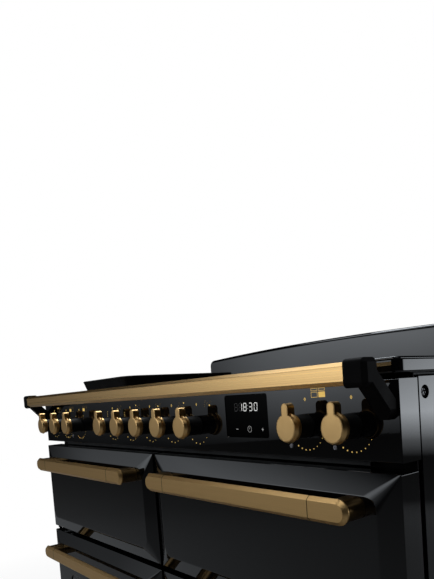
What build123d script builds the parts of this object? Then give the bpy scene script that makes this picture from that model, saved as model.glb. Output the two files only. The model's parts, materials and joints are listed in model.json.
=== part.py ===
from build123d import *
import math
import os

# Freestanding induction range cooker, millimetres, +Z up, front towards -Y.
# Depths named "y" are measured back from the plane of the doors' outer edges.

# Overall size
WIDTH = 1092.0
HOB_HEIGHT = 905.0
DEPTH = 622.0
RAIL_REACH = 50.0
SHEET = 2.0
SEAT = 0.3
RUN_FIT = 0.05

# Body
SIDE_INSET = 5.0
PANEL_SETBACK = 8.0
PANEL_DROP = 4.2
FACE_Y = 39.0
REAR_SPACE = 30.0
BASE_Z = 60.0
BASE_T = 3.0
PLINTH_FLOOR_GAP = 14.0
PLINTH_TOP = 90.0

# Hob
GLASS_T = 4.0
TRAY_H = 15.0
TRAY_INSET = 2.0
TRAY_FRONT_Y = 7.0
TRAY_CORNER = 10.0
TRAY_EDGE = 3.5
TRAY_LIP = 8.0
GLASS_REAR = 72.0
GLASS_MARGIN = 3.0
UPSTAND_REAR = 8.0
UPSTAND_D = 56.0
UPSTAND_H = 94.5
UPSTAND_ARCH = 13.0
UPSTAND_CORNER = 18.0
UPSTAND_ROUND = 9.0

# Front: fascia, doors, handles
FASCIA_H = 92.0
FASCIA_Y = 2.0
FASCIA_D = 35.0
FASCIA_T = 3.0
FASCIA_TRAY_GAP = 5.5
VENT_GAP = 11.5
DOOR_SIDE_INSET = 1.5
DOOR_T = 33.0
DOOR_CORNER = 4.0
BEVEL_W = 26.7
BEVEL_SIDE_W = 28.7
BEVEL_D = 9.7
FIELD_CORNER = 21.0
UPPER_DOOR_H = 205.5
ROW_GAP = 10.5
COLUMN_GAP = 8.2
LOWER_DOOR_BOTTOM = 100.0
LINER_T = 4.0
WINDOW_W = 334.0
WINDOW_H = 250.0
WINDOW_DROP = 93.5
PANE_OVERLAP = 16.0
PANE_T = 4.0
HANDLE_LEN = 456.0
HANDLE_H = 30.0
HANDLE_T = 7.0
HANDLE_REACH = 36.3
HANDLE_DROP = 40.0
HANDLE_POST_L = 36.0
HANDLE_EDGE = 4.6
POST_INSET = 0.8

# Handrail
RAIL_END = 32.2
RAIL_H = 25.0
RAIL_T = 22.0
RAIL_EDGE = 4.5
RAIL_TOP_DROP = 3.5
CAP_OVERSIZE = 3.0
CAP_ROUND = 6.0
CAP_EDGE = 5.0
BRACKET_W = 29.7
ARM_W = 20.5
ARM_FOOT_RISE = 48.0
ARM_FOOT_H = 23.0
ARM_EDGE = 2.5

# Controls
KNOB_SHARES = [
    -0.886081, -0.744872, -0.603663, -0.287546, -0.146154,
    -0.004945, 0.136447, 0.277839, 0.734799, 0.876190,
]
KNOB_NAMES = [
    "grill_knob",
    "left_oven_mode_knob",
    "left_oven_heat_knob",
    "zone_one_knob",
    "zone_two_knob",
    "zone_three_knob",
    "zone_four_knob",
    "zone_five_knob",
    "drawer_heat_knob",
    "right_oven_heat_knob",
]
KNOB_RISE = 41.0
KNOB_REACH = 36.5
KNOB_R = 19.2
KNOB_FACE_R = 16.9
KNOB_CONE_L = 4.9
KNOB_EDGE = 0.8
KNOB_LEVER_UP = 30.5
KNOB_LEVER_W = 12.2
KNOB_LEVER_D = 12.0
KNOB_CAP_L = 6.2
KNOB_RING_R = 17.0
KNOB_RING_L = 6.3
KNOB_SKIRT_R = 15.2
KNOB_STAND_OFF = 0.5
SPINDLE_R = 3.0
SPINDLE_L = 22.0
LENS_SHARES = [-0.689744, 0.679853, 0.821612]
LENS_RISE = 14.6
LENS_R = 3.0
CLOCK_SHARE = 0.509158
CLOCK_W = 96.0
CLOCK_H = 60.0
CLOCK_RISE = 54.5
CLOCK_CORNER = 3.0
CLOCK_RECESS = 1.0

# Cavities and their fittings
CAVITY_SIDE = 40.0
GRILL_MARGIN = 20.0
OVEN_LOW_MARGIN = 35.0
OVEN_TOP_MARGIN = 31.0
OVEN_SIDE = 46.0
GRILL_REAR = 71.0
OVEN_REAR = 46.0
FAN_R = 62.0
FAN_SHAFT_R = 4.0
FAN_COVER = 220.0
FAN_COVER_D = 34.0
MOTOR_R = 36.0
RACK_RISES = [70.0, 215.0]
LEDGE_W = 14.0
SEAL_W = 7.0
SEAL_OFFSET = 3.0
SEAL_GAP = 0.4

# Drawer
DRAWER_REAR = 43.0
RUNNER_T = 6.0
RUNNER_H = 30.0
TONGUE = 3.0

# Hinges
PIVOT_R = 3.0
PIVOT_IN = 6.0
PIVOT_Y = 10.0
PIVOT_PLATE_T = 4.0
PIVOT_DEPTH = 9.0
LUG_PIN_R = 2.5
LUG_Y = 5.0
LUG_RISE = 14.5
LUG_R = 3.9
LUG_T = 5.0
LUG_IN = 64.0

# Vent strip and supply terminals
VENT_LEFT = 60.0
VENT_RIGHT = 66.0
VENT_D = 11.0
VENT_SLOTS = 22
VENT_SLOT_L = 30.0
VENT_LIP = 3.0
VENT_END = 24.0
TERMINAL_SIDE = 96.0
TERMINAL_W = 120.0
TERMINAL_H = 100.0
TERMINAL_Z = 150.0
TERMINAL_CLEAR = 2.0
ENTRY_R = 8.0

# Feet
FOOT_R = 24.0
FOOT_H = 10.0
STEM_R = 8.0
FOOT_Y = 90.0
FOOT_IN = 76.0
ROLLER_R = 25.0
ROLLER_W = 30.0
ROLLER_REAR = 72.0
AXLE_R = 5.0

# Griddle plate
GRIDDLE_X = -326.0
GRIDDLE_W = 262.0
GRIDDLE_FRONT_Y = 57.0
GRIDDLE_D = 296.0
GRIDDLE_H = 25.0
GRIDDLE_CORNER = 35.0
GRIDDLE_FLARE = 9.0
GRIDDLE_WALL = 5.0
GRIDDLE_BASE = 8.0

# Values that follow from the sizes above
DOOR_PLANE = -DEPTH / 2 + RAIL_REACH
REAR_Y = DEPTH - RAIL_REACH
BODY_REAR_Y = REAR_Y - REAR_SPACE
HALF = WIDTH / 2
GLASS_END_Y = REAR_Y - GLASS_REAR
UPSTAND_Y = REAR_Y - UPSTAND_REAR - UPSTAND_D
ROLLER_Y = BODY_REAR_Y - ROLLER_REAR
KNOB_XS = [share * HALF for share in KNOB_SHARES]
LENS_XS = [share * HALF for share in LENS_SHARES]
CLOCK_X = CLOCK_SHARE * HALF
RAIL_HALF = HALF - RAIL_END
SIDE_X = HALF - SIDE_INSET
INNER_X = SIDE_X - SHEET
TRAY_X = HALF - TRAY_INSET
TRAY_TOP = HOB_HEIGHT - GLASS_T
TRAY_BOTTOM = TRAY_TOP - TRAY_H
FASCIA_TOP = TRAY_BOTTOM - FASCIA_TRAY_GAP
FASCIA_BOTTOM = FASCIA_TOP - FASCIA_H
UPPER_TOP = FASCIA_BOTTOM - VENT_GAP
UPPER_BOTTOM = UPPER_TOP - UPPER_DOOR_H
LOWER_TOP = UPPER_BOTTOM - ROW_GAP
FACE_BACK = FACE_Y + SHEET
GRILL_DEPTH = BODY_REAR_Y - GRILL_REAR - FACE_BACK
OVEN_DEPTH = BODY_REAR_Y - OVEN_REAR - FACE_BACK
DRAWER_DEPTH = BODY_REAR_Y - GRILL_REAR - DRAWER_REAR - DOOR_T
DOOR_X0 = COLUMN_GAP / 2
DOOR_X1 = HALF - DOOR_SIDE_INSET
DOOR_CX = (DOOR_X0 + DOOR_X1) / 2
FIELD_Y = -BEVEL_D
HANDLE_FRONT_Y = FIELD_Y - HANDLE_REACH
HANDLE_BACK_Y = HANDLE_FRONT_Y + HANDLE_T
KNOB_Z = FASCIA_BOTTOM + KNOB_RISE
GRILL_X0 = DOOR_X0 + CAVITY_SIDE
GRILL_X1 = DOOR_X1 - CAVITY_SIDE
GRILL_Z0 = UPPER_BOTTOM + GRILL_MARGIN
GRILL_Z1 = UPPER_TOP - GRILL_MARGIN
OVEN_X0 = DOOR_X0 + OVEN_SIDE
OVEN_X1 = DOOR_X1 - OVEN_SIDE
OVEN_Z0 = LOWER_DOOR_BOTTOM + OVEN_LOW_MARGIN
OVEN_Z1 = LOWER_TOP - OVEN_TOP_MARGIN
OVEN_END_Y = FACE_BACK + OVEN_DEPTH
FAN_X = (OVEN_X0 + OVEN_X1) / 2
FAN_Z = (OVEN_Z0 + OVEN_Z1) / 2
PIVOT_X = DOOR_X1 - PIVOT_IN
LUG_Z = UPPER_BOTTOM + LUG_RISE
RAIL_TOP = TRAY_TOP + GLASS_T - RAIL_TOP_DROP
RAIL_BOTTOM = RAIL_TOP - RAIL_H
RAIL_BACK_Y = -RAIL_REACH + RAIL_T


def block(x0, x1, y0, y1, z0, z1):
    """A box between two corners."""
    place = Pos((x0 + x1) / 2, (y0 + y1) / 2 + DOOR_PLANE, (z0 + z1) / 2)
    return place * Box(x1 - x0, y1 - y0, z1 - z0)


def rod_x(x0, x1, y, z, radius):
    place = Pos((x0 + x1) / 2, y + DOOR_PLANE, z)
    return place * Rot(0, 90, 0) * Cylinder(radius, x1 - x0)


def rod_y(x, y0, y1, z, radius):
    place = Pos(x, (y0 + y1) / 2 + DOOR_PLANE, z)
    return place * Rot(90, 0, 0) * Cylinder(radius, y1 - y0)


def rod_z(x, y, z0, z1, radius):
    return Pos(x, y + DOOR_PLANE, (z0 + z1) / 2) * Cylinder(radius, z1 - z0)


def front_plane(x, y, z):
    """A sketch plane facing the front: local x is +X and local y is +Z."""
    return Plane(origin=(x, y + DOOR_PLANE, z), x_dir=(1, 0, 0), z_dir=(0, -1, 0))


def side_plane(x):
    """A sketch plane facing +X: local x is depth y and local y is +Z."""
    return Plane(origin=(x, DOOR_PLANE, 0), x_dir=(0, 1, 0), z_dir=(1, 0, 0))


def level_plane(x, y, z):
    return Plane(origin=(x, y + DOOR_PLANE, z), x_dir=(1, 0, 0), z_dir=(0, 0, 1))


def union(pieces):
    whole = pieces[0]
    for piece in pieces[1:]:
        whole = whole + piece
    return whole


def mirrored(shape):
    return mirror(shape, about=Plane.YZ)


def save(shape, node):
    export_step(shape, f"parts/{node}.step")


def door_block(x0, x1, z0, z1, inset, corner, field_corner):
    """The outer form of a bevelled front, set in all round by inset (measured square to each face)."""
    length = math.hypot(BEVEL_W, BEVEL_D)
    shift_w = inset * BEVEL_D / length
    shift_y = inset * BEVEL_W / length
    edge_y = shift_y - (inset - shift_w) * BEVEL_D / BEVEL_W
    field_y = FIELD_Y + inset
    side_in = inset + (edge_y - field_y) * BEVEL_SIDE_W / BEVEL_D
    top_in = inset + (edge_y - field_y) * BEVEL_W / BEVEL_D
    cx = (x0 + x1) / 2
    cz = (z0 + z1) / 2
    width = x1 - x0
    height = z1 - z0
    outer = RectangleRounded(width - 2 * inset, height - 2 * inset, corner)
    field = RectangleRounded(width - 2 * side_in, height - 2 * top_in, field_corner)
    back = extrude(front_plane(cx, DOOR_T, cz) * outer, DOOR_T - edge_y)
    bevel = loft([front_plane(cx, edge_y, cz) * outer, front_plane(cx, field_y, cz) * field], ruled=True)
    return back + bevel


def door_panel(x0, x1, z0, z1):
    """Pressed front of a door: a bevelled sheet-metal tray, open at the back."""
    outside = door_block(x0, x1, z0, z1, 0.0, DOOR_CORNER, FIELD_CORNER)
    inside = door_block(x0, x1, z0, z1, SHEET, DOOR_CORNER - SHEET, FIELD_CORNER - SHEET)
    return outside - inside


def door_liner(x0, x1, z0, z1):
    """Plate that closes the back of a door inside the panel's flange."""
    cx = (x0 + x1) / 2
    cz = (z0 + z1) / 2
    plate = RectangleRounded(x1 - x0 - 2 * SHEET, z1 - z0 - 2 * SHEET, DOOR_CORNER - SHEET)
    return extrude(front_plane(cx, DOOR_T, cz) * plate, LINER_T)


def handle(cx, z):
    """Flat bar with round ends on two posts that stand on the door's field."""
    bar = extrude(front_plane(cx, HANDLE_BACK_Y, z) * SlotOverall(HANDLE_LEN, HANDLE_H), HANDLE_T)
    front_edges = bar.faces().sort_by(Axis.Y)[0].edges()
    bar = chamfer(front_edges, HANDLE_EDGE)
    post = SlotOverall(HANDLE_POST_L, HANDLE_H - 2 * POST_INSET)
    reach = HANDLE_LEN / 2 - POST_INSET - HANDLE_POST_L / 2
    posts = [
        extrude(front_plane(cx + side * reach, FIELD_Y, z) * post, FIELD_Y - HANDLE_BACK_Y)
        for side in (-1, 1)
    ]
    return union([bar] + posts)


def window_cut(cx, y0, y1, top):
    cz = top - WINDOW_H / 2
    shape = RectangleRounded(WINDOW_W, WINDOW_H, FIELD_CORNER)
    return extrude(front_plane(cx, y1, cz) * shape, y1 - y0)


def window_pane(cx, y0, y1, top):
    cz = top - WINDOW_H / 2
    shape = RectangleRounded(WINDOW_W + 2 * PANE_OVERLAP, WINDOW_H + 2 * PANE_OVERLAP, FIELD_CORNER)
    return extrude(front_plane(cx, y1, cz) * shape, y1 - y0)


def oven_door_parts():
    """Right-hand oven door hung on pivots at its outer edge, with an outer and an inner pane."""
    panel = door_panel(DOOR_X0, DOOR_X1, LOWER_DOOR_BOTTOM, LOWER_TOP)
    for z0, z1 in (
        (LOWER_DOOR_BOTTOM + SHEET / 2, LOWER_DOOR_BOTTOM + PIVOT_DEPTH + SHEET),
        (LOWER_TOP - PIVOT_DEPTH - SHEET, LOWER_TOP - SHEET / 2),
    ):
        panel += block(PIVOT_X - 8, DOOR_X1 - SHEET / 2, SHEET, PIVOT_Y + 8, z0, z1)
    for z0, z1 in (
        (LOWER_DOOR_BOTTOM - 1, LOWER_DOOR_BOTTOM + PIVOT_DEPTH),
        (LOWER_TOP - PIVOT_DEPTH, LOWER_TOP + 1),
    ):
        panel -= rod_z(PIVOT_X, PIVOT_Y, z0, z1, PIVOT_R + RUN_FIT)
    top = LOWER_TOP - WINDOW_DROP
    panel -= window_cut(DOOR_CX, FIELD_Y - 1, FIELD_Y + SHEET + 1, top)
    liner = door_liner(DOOR_X0, DOOR_X1, LOWER_DOOR_BOTTOM, LOWER_TOP)
    liner -= window_cut(DOOR_CX, DOOR_T - LINER_T - 1, DOOR_T + 1, top)
    outer_pane = window_pane(DOOR_CX, FIELD_Y + SHEET, FIELD_Y + SHEET + PANE_T, top)
    inner_pane = window_pane(DOOR_CX, DOOR_T - LINER_T - PANE_T, DOOR_T - LINER_T, top)
    glass = Compound(children=[outer_pane, inner_pane])
    return {
        "panel": panel,
        "liner": liner,
        "glass": glass,
        "handle": handle(DOOR_CX, LOWER_TOP - HANDLE_DROP),
    }


def oven_pivots():
    """Plates in the gaps above and below the oven doors, with the pins the doors turn on."""
    solids = []
    gap_z = LOWER_TOP + (ROW_GAP - PIVOT_PLATE_T) / 2
    low_z = LOWER_DOOR_BOTTOM - (ROW_GAP - PIVOT_PLATE_T) / 2 - PIVOT_PLATE_T
    for z0, pin_z0, pin_z1 in (
        (gap_z, LOWER_TOP - PIVOT_DEPTH + 1, gap_z),
        (low_z, low_z + PIVOT_PLATE_T, LOWER_DOOR_BOTTOM + PIVOT_DEPTH - 1),
    ):
        plate = block(PIVOT_X - 8, PIVOT_X, PIVOT_Y, FACE_Y, z0, z0 + PIVOT_PLATE_T)
        plate += rod_z(PIVOT_X, PIVOT_Y, z0, z0 + PIVOT_PLATE_T, PIVOT_R + 2)
        plate += rod_z(PIVOT_X, PIVOT_Y, pin_z0, pin_z1, PIVOT_R)
        solids.append(plate)
    return solids


def lug_xs():
    return (-DOOR_X1 + LUG_IN, -DOOR_X0 - LUG_IN)


def grill_door_parts():
    """Drop-down grill door that turns on pins near its bottom edge."""
    panel = door_panel(-DOOR_X1, -DOOR_X0, UPPER_BOTTOM, UPPER_TOP)
    liner = door_liner(-DOOR_X1, -DOOR_X0, UPPER_BOTTOM, UPPER_TOP)
    for x in lug_xs():
        slot = LUG_T / 2 + 1
        ear = slot + 9
        panel += block(x - ear, x + ear, LUG_Y - 4, LUG_Y + 6, UPPER_BOTTOM + SHEET / 2, LUG_Z + 7)
        notch = block(
            x - slot, x + slot, LUG_Y - LUG_R - SEAT, DOOR_T + 1, UPPER_BOTTOM - 1, LUG_Z + LUG_R + SEAT
        )
        panel -= notch
        liner -= notch
        panel -= rod_x(x - ear + 1, x + ear - 1, LUG_Y, LUG_Z, LUG_PIN_R + RUN_FIT)
    return {
        "panel": panel,
        "liner": liner,
        "handle": handle(-DOOR_CX, UPPER_TOP - HANDLE_DROP),
    }


def grill_lugs():
    """Fixed lugs with the cross pins the grill door turns on."""
    solids = []
    for x in lug_xs():
        lug = block(x - LUG_T / 2, x + LUG_T / 2, LUG_Y, FACE_Y, LUG_Z - LUG_R, LUG_Z + LUG_R)
        lug += rod_x(x - LUG_T / 2, x + LUG_T / 2, LUG_Y, LUG_Z, LUG_R)
        pin = LUG_T / 2 + 8
        lug += rod_x(x - pin, x + pin, LUG_Y, LUG_Z, LUG_PIN_R)
        solids.append(lug)
    return solids


def runner_x():
    """Inner faces of the fixed runners, left and right."""
    return GRILL_X0 + RUNNER_T, GRILL_X1 - RUNNER_T


def drawer_parts():
    """Drawer: bevelled front, open box and the moving half of its runners."""
    front = door_panel(DOOR_X0, DOOR_X1, UPPER_BOTTOM, UPPER_TOP)
    left, right = runner_x()
    rail_z = (GRILL_Z0 + GRILL_Z1) / 2
    x0 = left + SEAT + RUNNER_T
    x1 = right - SEAT - RUNNER_T
    z0 = GRILL_Z0 + 12
    z1 = GRILL_Z1 - 18
    end = DOOR_T + DRAWER_DEPTH
    box = block(x0, x1, DOOR_T, end, z0, z1)
    box -= block(x0 + SHEET, x1 - SHEET, DOOR_T + SHEET, end - SHEET, z0 + SHEET, z1 + 1)
    start = FACE_BACK + 4
    for inner, outer, side in ((x0, left + SEAT, -1), (x1, right - SEAT, 1)):
        lo = min(inner, outer)
        hi = max(inner, outer)
        box += block(lo, hi, start, end, rail_z - RUNNER_H / 2, rail_z + RUNNER_H / 2)
        tip = outer + side * TONGUE
        box += block(min(outer, tip), max(outer, tip), start, end, rail_z - 5, rail_z + 5)
    box += door_liner(DOOR_X0, DOOR_X1, UPPER_BOTTOM, UPPER_TOP)
    return {
        "front": front,
        "box": box,
        "handle": handle(DOOR_CX, UPPER_TOP - HANDLE_DROP),
    }


def drawer_housing():
    """Lining behind the drawer, with a fixed grooved runner on each side wall."""
    left, right = runner_x()
    rail_z = (GRILL_Z0 + GRILL_Z1) / 2
    start = FACE_BACK
    end = FACE_BACK + GRILL_DEPTH - 4
    housing = liner_box(GRILL_X0, GRILL_X1, GRILL_Z0, GRILL_Z1, GRILL_DEPTH)
    for wall, face, side in ((GRILL_X0, left, -1), (GRILL_X1, right, 1)):
        lo = min(wall, face)
        hi = max(wall, face)
        rail = block(lo, hi, start, end, rail_z - RUNNER_H / 2, rail_z + RUNNER_H / 2)
        tip = face + side * (TONGUE + SEAT)
        groove = 5 + SEAT
        rail -= block(min(face, tip), max(face, tip), start - 1, end + 1, rail_z - groove, rail_z + groove)
        housing += rail
    return housing


def liner_box(x0, x1, z0, z1, depth):
    """Cavity lining: a sheet box open at the front, its rim against the face frame."""
    outer = block(x0 - SHEET, x1 + SHEET, FACE_BACK, FACE_BACK + depth + SHEET, z0 - SHEET, z1 + SHEET)
    return outer - block(x0, x1, FACE_BACK - 1, FACE_BACK + depth, z0, z1)


def oven_liner():
    liner = liner_box(OVEN_X0, OVEN_X1, OVEN_Z0, OVEN_Z1, OVEN_DEPTH)
    return liner - rod_y(FAN_X, OVEN_END_Y - 1, OVEN_END_Y + SHEET + 1, FAN_Z, FAN_SHAFT_R + RUN_FIT)


def oven_shelving():
    """Side supports with ledges, and the wire racks that lie on them, for the right-hand oven."""
    solids = []
    y0 = FACE_BACK + 30
    y1 = OVEN_END_Y - FAN_COVER_D - 12
    for wall, side in ((OVEN_X0, 1), (OVEN_X1, -1)):
        far = wall + side * SHEET
        solids.append(block(min(wall, far), max(wall, far), y0, y1, OVEN_Z0 + 30, OVEN_Z1 - 60))
        tip = wall + side * LEDGE_W
        for rise in RACK_RISES + [RACK_RISES[1] + 75]:
            z = OVEN_Z0 + rise
            solids.append(block(min(far, tip), max(far, tip), y0, y1, z - SHEET, z))
    x0 = OVEN_X0 + SHEET + 1
    x1 = OVEN_X1 - SHEET - 1
    bar = 6.0
    for rise in RACK_RISES:
        z = OVEN_Z0 + rise
        rack = block(x0, x1, y0 + 4, y1 - 4, z, z + bar)
        rack -= block(x0 + bar, x1 - bar, y0 + 4 + bar, y1 - 4 - bar, z - 1, z + bar + 1)
        count = 15
        step = (x1 - x0 - bar) / (count + 1)
        for n in range(count):
            rack += rod_y(x0 + bar / 2 + step * (n + 1), y0 + 6, y1 - 6, z + bar / 2, 2.2)
        for y in (y0 + (y1 - y0) * 0.36, y0 + (y1 - y0) * 0.68):
            rack += rod_x(x0 + 2, x1 - 2, y, z + bar / 2, 2.2)
        solids.append(rack)
    return solids


def fan_wheel():
    """Oven fan: a shaft, a back disc and a ring of straight blades."""
    disc_y = OVEN_END_Y - 8
    wheel = rod_y(FAN_X, disc_y, disc_y + SHEET, FAN_Z, FAN_R)
    wheel += rod_y(FAN_X, disc_y - 18, OVEN_END_Y + SHEET + 24, FAN_Z, FAN_SHAFT_R)
    count = 10
    for n in range(count):
        blade = Pos((FAN_R + 26) / 2, 0, 0) * Box(FAN_R - 28, 18, 1.6)
        turn = Pos(FAN_X, disc_y - 8 + DOOR_PLANE, FAN_Z) * Rot(0, 360 * n / count, 0)
        wheel += turn * blade
    return wheel


def fan_cover():
    """Pressed cover over the fan, with a ring of slots in its face and vents in its sides."""
    half = FAN_COVER / 2
    y0 = OVEN_END_Y - FAN_COVER_D
    cover = block(FAN_X - half, FAN_X + half, y0, OVEN_END_Y, FAN_Z - half, FAN_Z + half)
    cover -= block(
        FAN_X - half + SHEET, FAN_X + half - SHEET, y0 + SHEET, OVEN_END_Y + 1,
        FAN_Z - half + SHEET, FAN_Z + half - SHEET,
    )
    slots = 18
    for n in range(slots):
        turn = Pos(FAN_X, y0 + DOOR_PLANE, FAN_Z) * Rot(0, 360 * n / slots, 0)
        cover -= turn * Pos(42, 0, 0) * Box(34, 3 * SHEET, 5)
    for dz in (-60, -20, 20, 60):
        cover -= block(
            FAN_X - half - 1, FAN_X + half + 1, y0 + 12, y0 + 24, FAN_Z + dz - 12, FAN_Z + dz + 12
        )
    return cover


def fan_motor():
    y0 = OVEN_END_Y + SHEET
    body = rod_y(FAN_X, y0, y0 + 34, FAN_Z, MOTOR_R)
    return body - rod_y(FAN_X, y0 - 1, y0 + 26, FAN_Z, FAN_SHAFT_R + RUN_FIT)


def grill_element():
    """Serpentine radiant element hung from the grill roof by small blocks."""
    radius = 4.0
    z = GRILL_Z1 - 14
    x0 = -GRILL_X1 + 60
    x1 = -GRILL_X0 - 60
    y0 = FACE_BACK + 60 + DOOR_PLANE
    y1 = FACE_BACK + GRILL_DEPTH + DOOR_PLANE
    lanes = 8
    step = (x1 - x0) / (lanes - 1)
    front = y0
    back = y1 - 60
    points = [(x0, y1, z)]
    for n in range(lanes):
        x = x0 + step * n
        near, far = (back, front) if n % 2 == 0 else (front, back)
        if n > 0:
            points.append((x, near, z))
        points.append((x, y1 if n == lanes - 1 else far, z))
    path = FilletPolyline(*points, radius=step * 0.45)
    tube = sweep(Plane(origin=path @ 0, z_dir=path % 0) * Circle(radius), path=path)
    hangers = [
        block(x0 + step * n - 5, x0 + step * n + 5, 250, 262, z, GRILL_Z1) for n in (0, 2, 5, 7)
    ]
    return union([tube] + hangers)


def grill_pan():
    """Shallow enamelled pan on the floor of the grill cavity, with its wire trivet."""
    x0 = -GRILL_X1 + 14
    x1 = -GRILL_X0 - 14
    y0 = FACE_BACK + 14
    y1 = FACE_BACK + GRILL_DEPTH - 20
    z0 = GRILL_Z0
    z1 = z0 + 40
    pan = block(x0, x1, y0, y1, z0, z1)
    pan -= block(x0 + SHEET, x1 - SHEET, y0 + SHEET, y1 - SHEET, z0 + SHEET, z1 + 1)
    rest = 6.0
    for y in (y0 + 60, y1 - 60):
        pan += block(x0 + 1, x1 - 1, y - rest / 2, y + rest / 2, z1 - 14, z1 - 14 + rest)
    count = 16
    step = (x1 - x0) / (count + 1)
    for n in range(count):
        pan += rod_y(x0 + step * (n + 1), y0 + 1, y1 - 1, z1 - 10, 2.0)
    return pan


def face_frame():
    """Front of the body with the mouths of the cavities cut in it."""
    frame = block(-INNER_X, INNER_X, FACE_Y, FACE_BACK, BASE_Z, TRAY_BOTTOM)
    for side in (-1, 1):
        lo, hi = sorted((side * GRILL_X0, side * GRILL_X1))
        frame -= block(lo, hi, FACE_Y - 1, FACE_BACK + 1, GRILL_Z0, GRILL_Z1)
        lo, hi = sorted((side * OVEN_X0, side * OVEN_X1))
        frame -= block(lo, hi, FACE_Y - 1, FACE_BACK + 1, OVEN_Z0, OVEN_Z1)
    return frame


def seal_ring(x0, x1, z0, z1):
    cx = (x0 + x1) / 2
    cz = (z0 + z1) / 2
    grow = 2 * (SEAL_OFFSET + SEAL_W)
    outer = RectangleRounded(x1 - x0 + grow, z1 - z0 + grow, SEAL_OFFSET + SEAL_W)
    inner = RectangleRounded(x1 - x0 + 2 * SEAL_OFFSET, z1 - z0 + 2 * SEAL_OFFSET, SEAL_OFFSET)
    return extrude(front_plane(cx, FACE_Y, cz) * (outer - inner), FACE_Y - DOOR_T - SEAL_GAP)


def chassis():
    """Base plate with the bosses for the screw feet, and the partition between the ovens."""
    plate = block(-INNER_X, INNER_X, FACE_BACK, BODY_REAR_Y - SHEET, BASE_Z, BASE_Z + BASE_T)
    partition = block(-SHEET, SHEET, FACE_BACK, BODY_REAR_Y - SHEET, BASE_Z + BASE_T, UPPER_TOP)
    whole = plate + partition
    for x in (-SIDE_X + FOOT_IN, SIDE_X - FOOT_IN):
        whole += rod_z(x, FOOT_Y, BASE_Z - 18, BASE_Z, STEM_R * 2)
        whole -= rod_z(x, FOOT_Y, BASE_Z - 20, BASE_Z + BASE_T + 1, STEM_R + RUN_FIT)
    return whole


def foot(x):
    base = rod_z(x, FOOT_Y, 0, FOOT_H, FOOT_R)
    base = chamfer(base.edges().group_by(Axis.Z)[-1], FOOT_H * 0.3)
    return base + rod_z(x, FOOT_Y, FOOT_H, BASE_Z + 30, STEM_R)


def roller(x):
    wheel = rod_x(x - ROLLER_W / 2, x + ROLLER_W / 2, ROLLER_Y, ROLLER_R, ROLLER_R)
    wheel = chamfer(wheel.edges(), 2.0)
    return wheel - rod_x(x - ROLLER_W, x + ROLLER_W, ROLLER_Y, ROLLER_R, AXLE_R + RUN_FIT)


def roller_bracket(x):
    """Two cheeks and an axle under the base plate."""
    half = ROLLER_W / 2 + 1
    solid = rod_x(x - half - 3, x + half + 3, ROLLER_Y, ROLLER_R, AXLE_R)
    for side in (-1, 1):
        lo, hi = sorted((x + side * half, x + side * (half + 3)))
        solid += block(lo, hi, ROLLER_Y - 16, ROLLER_Y + 16, ROLLER_R - 12, BASE_Z)
    return solid + block(x - half - 3, x + half + 3, ROLLER_Y - 16, ROLLER_Y + 16, BASE_Z - 3, BASE_Z)


def side_panel():
    """Right-hand side panel with a cupped recess for its fixing bolt."""
    y = FACE_Y + 19.5
    z = FASCIA_TOP - 16.5
    panel = block(
        INNER_X, SIDE_X, FACE_Y + PANEL_SETBACK, BODY_REAR_Y, BASE_Z, TRAY_BOTTOM - PANEL_DROP
    )
    panel -= rod_x(INNER_X - 1, SIDE_X + 1, y, z, 8.0)
    cup = rod_x(INNER_X - 8, INNER_X, y, z, 11.0) - rod_x(INNER_X - 6, INNER_X + 1, y, z, 8.0)
    head = extrude(side_plane(INNER_X - 6) * Pos(y, z) * RegularPolygon(5.5, 6), 5)
    return union([panel, cup, head])


def hob_tray():
    """Pressed surround of the hob: a deck with a cut-out under the glass, walls and an inner lip."""
    cy = (TRAY_FRONT_Y + REAR_Y) / 2
    depth = REAR_Y - TRAY_FRONT_Y
    outline = Rectangle(2 * TRAY_X, depth)
    outer = extrude(level_plane(0, cy, TRAY_BOTTOM) * outline, TRAY_H)
    front_corners = outer.edges().filter_by(Axis.Z).group_by(Axis.Y)[0]
    outer = fillet(front_corners, TRAY_CORNER)
    low_edges = outer.faces().sort_by(Axis.Z)[0].edges().sort_by(Axis.Y)[:-1]
    outer = fillet(low_edges, TRAY_EDGE)
    x = TRAY_X - SHEET
    y0 = TRAY_FRONT_Y + SHEET
    y1 = REAR_Y - SHEET
    hollow = block(-x, x, y0, y1, TRAY_BOTTOM + SHEET, TRAY_TOP - SHEET)
    hollow = fillet(hollow.edges().filter_by(Axis.Z).group_by(Axis.Y)[0], TRAY_CORNER - SHEET)
    x = TRAY_X - TRAY_LIP
    mouth = block(-x, x, FACE_BACK, BODY_REAR_Y - SHEET - TRAY_LIP, TRAY_BOTTOM - 1, TRAY_BOTTOM + SHEET + 1)
    deck_cut = block(-x + 30, x - 30, FACE_BACK, GLASS_END_Y - 20, TRAY_TOP - SHEET - 1, TRAY_TOP + 1)
    return outer - hollow - mouth - deck_cut


def hob_glass():
    y0 = TRAY_FRONT_Y + GLASS_MARGIN
    half = TRAY_X - GLASS_MARGIN
    cy = (y0 + GLASS_END_Y) / 2
    sheet = extrude(level_plane(0, cy, TRAY_TOP) * Rectangle(2 * half, GLASS_END_Y - y0), GLASS_T)
    sheet = fillet(sheet.edges().filter_by(Axis.Z), TRAY_CORNER - GLASS_MARGIN)
    return chamfer(sheet.edges().group_by(Axis.Z)[-1], 1.0)


def coil_carrier():
    """Plate against the underside of the tray's lip, with a flat coil under each cooking zone."""
    carrier = block(-INNER_X, INNER_X, FACE_BACK, BODY_REAR_Y - SHEET, TRAY_BOTTOM - SHEET, TRAY_BOTTOM)
    zones = [(-370, 150, 82), (-370, 360, 82), (0, 255, 125), (340, 150, 82), (360, 360, 98)]
    for x, y, radius in zones:
        coil = rod_z(x, y, TRAY_BOTTOM, TRAY_BOTTOM + 11, radius)
        carrier += coil - rod_z(x, y, TRAY_BOTTOM - 1, TRAY_BOTTOM + 12, 24)
    return carrier


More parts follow.
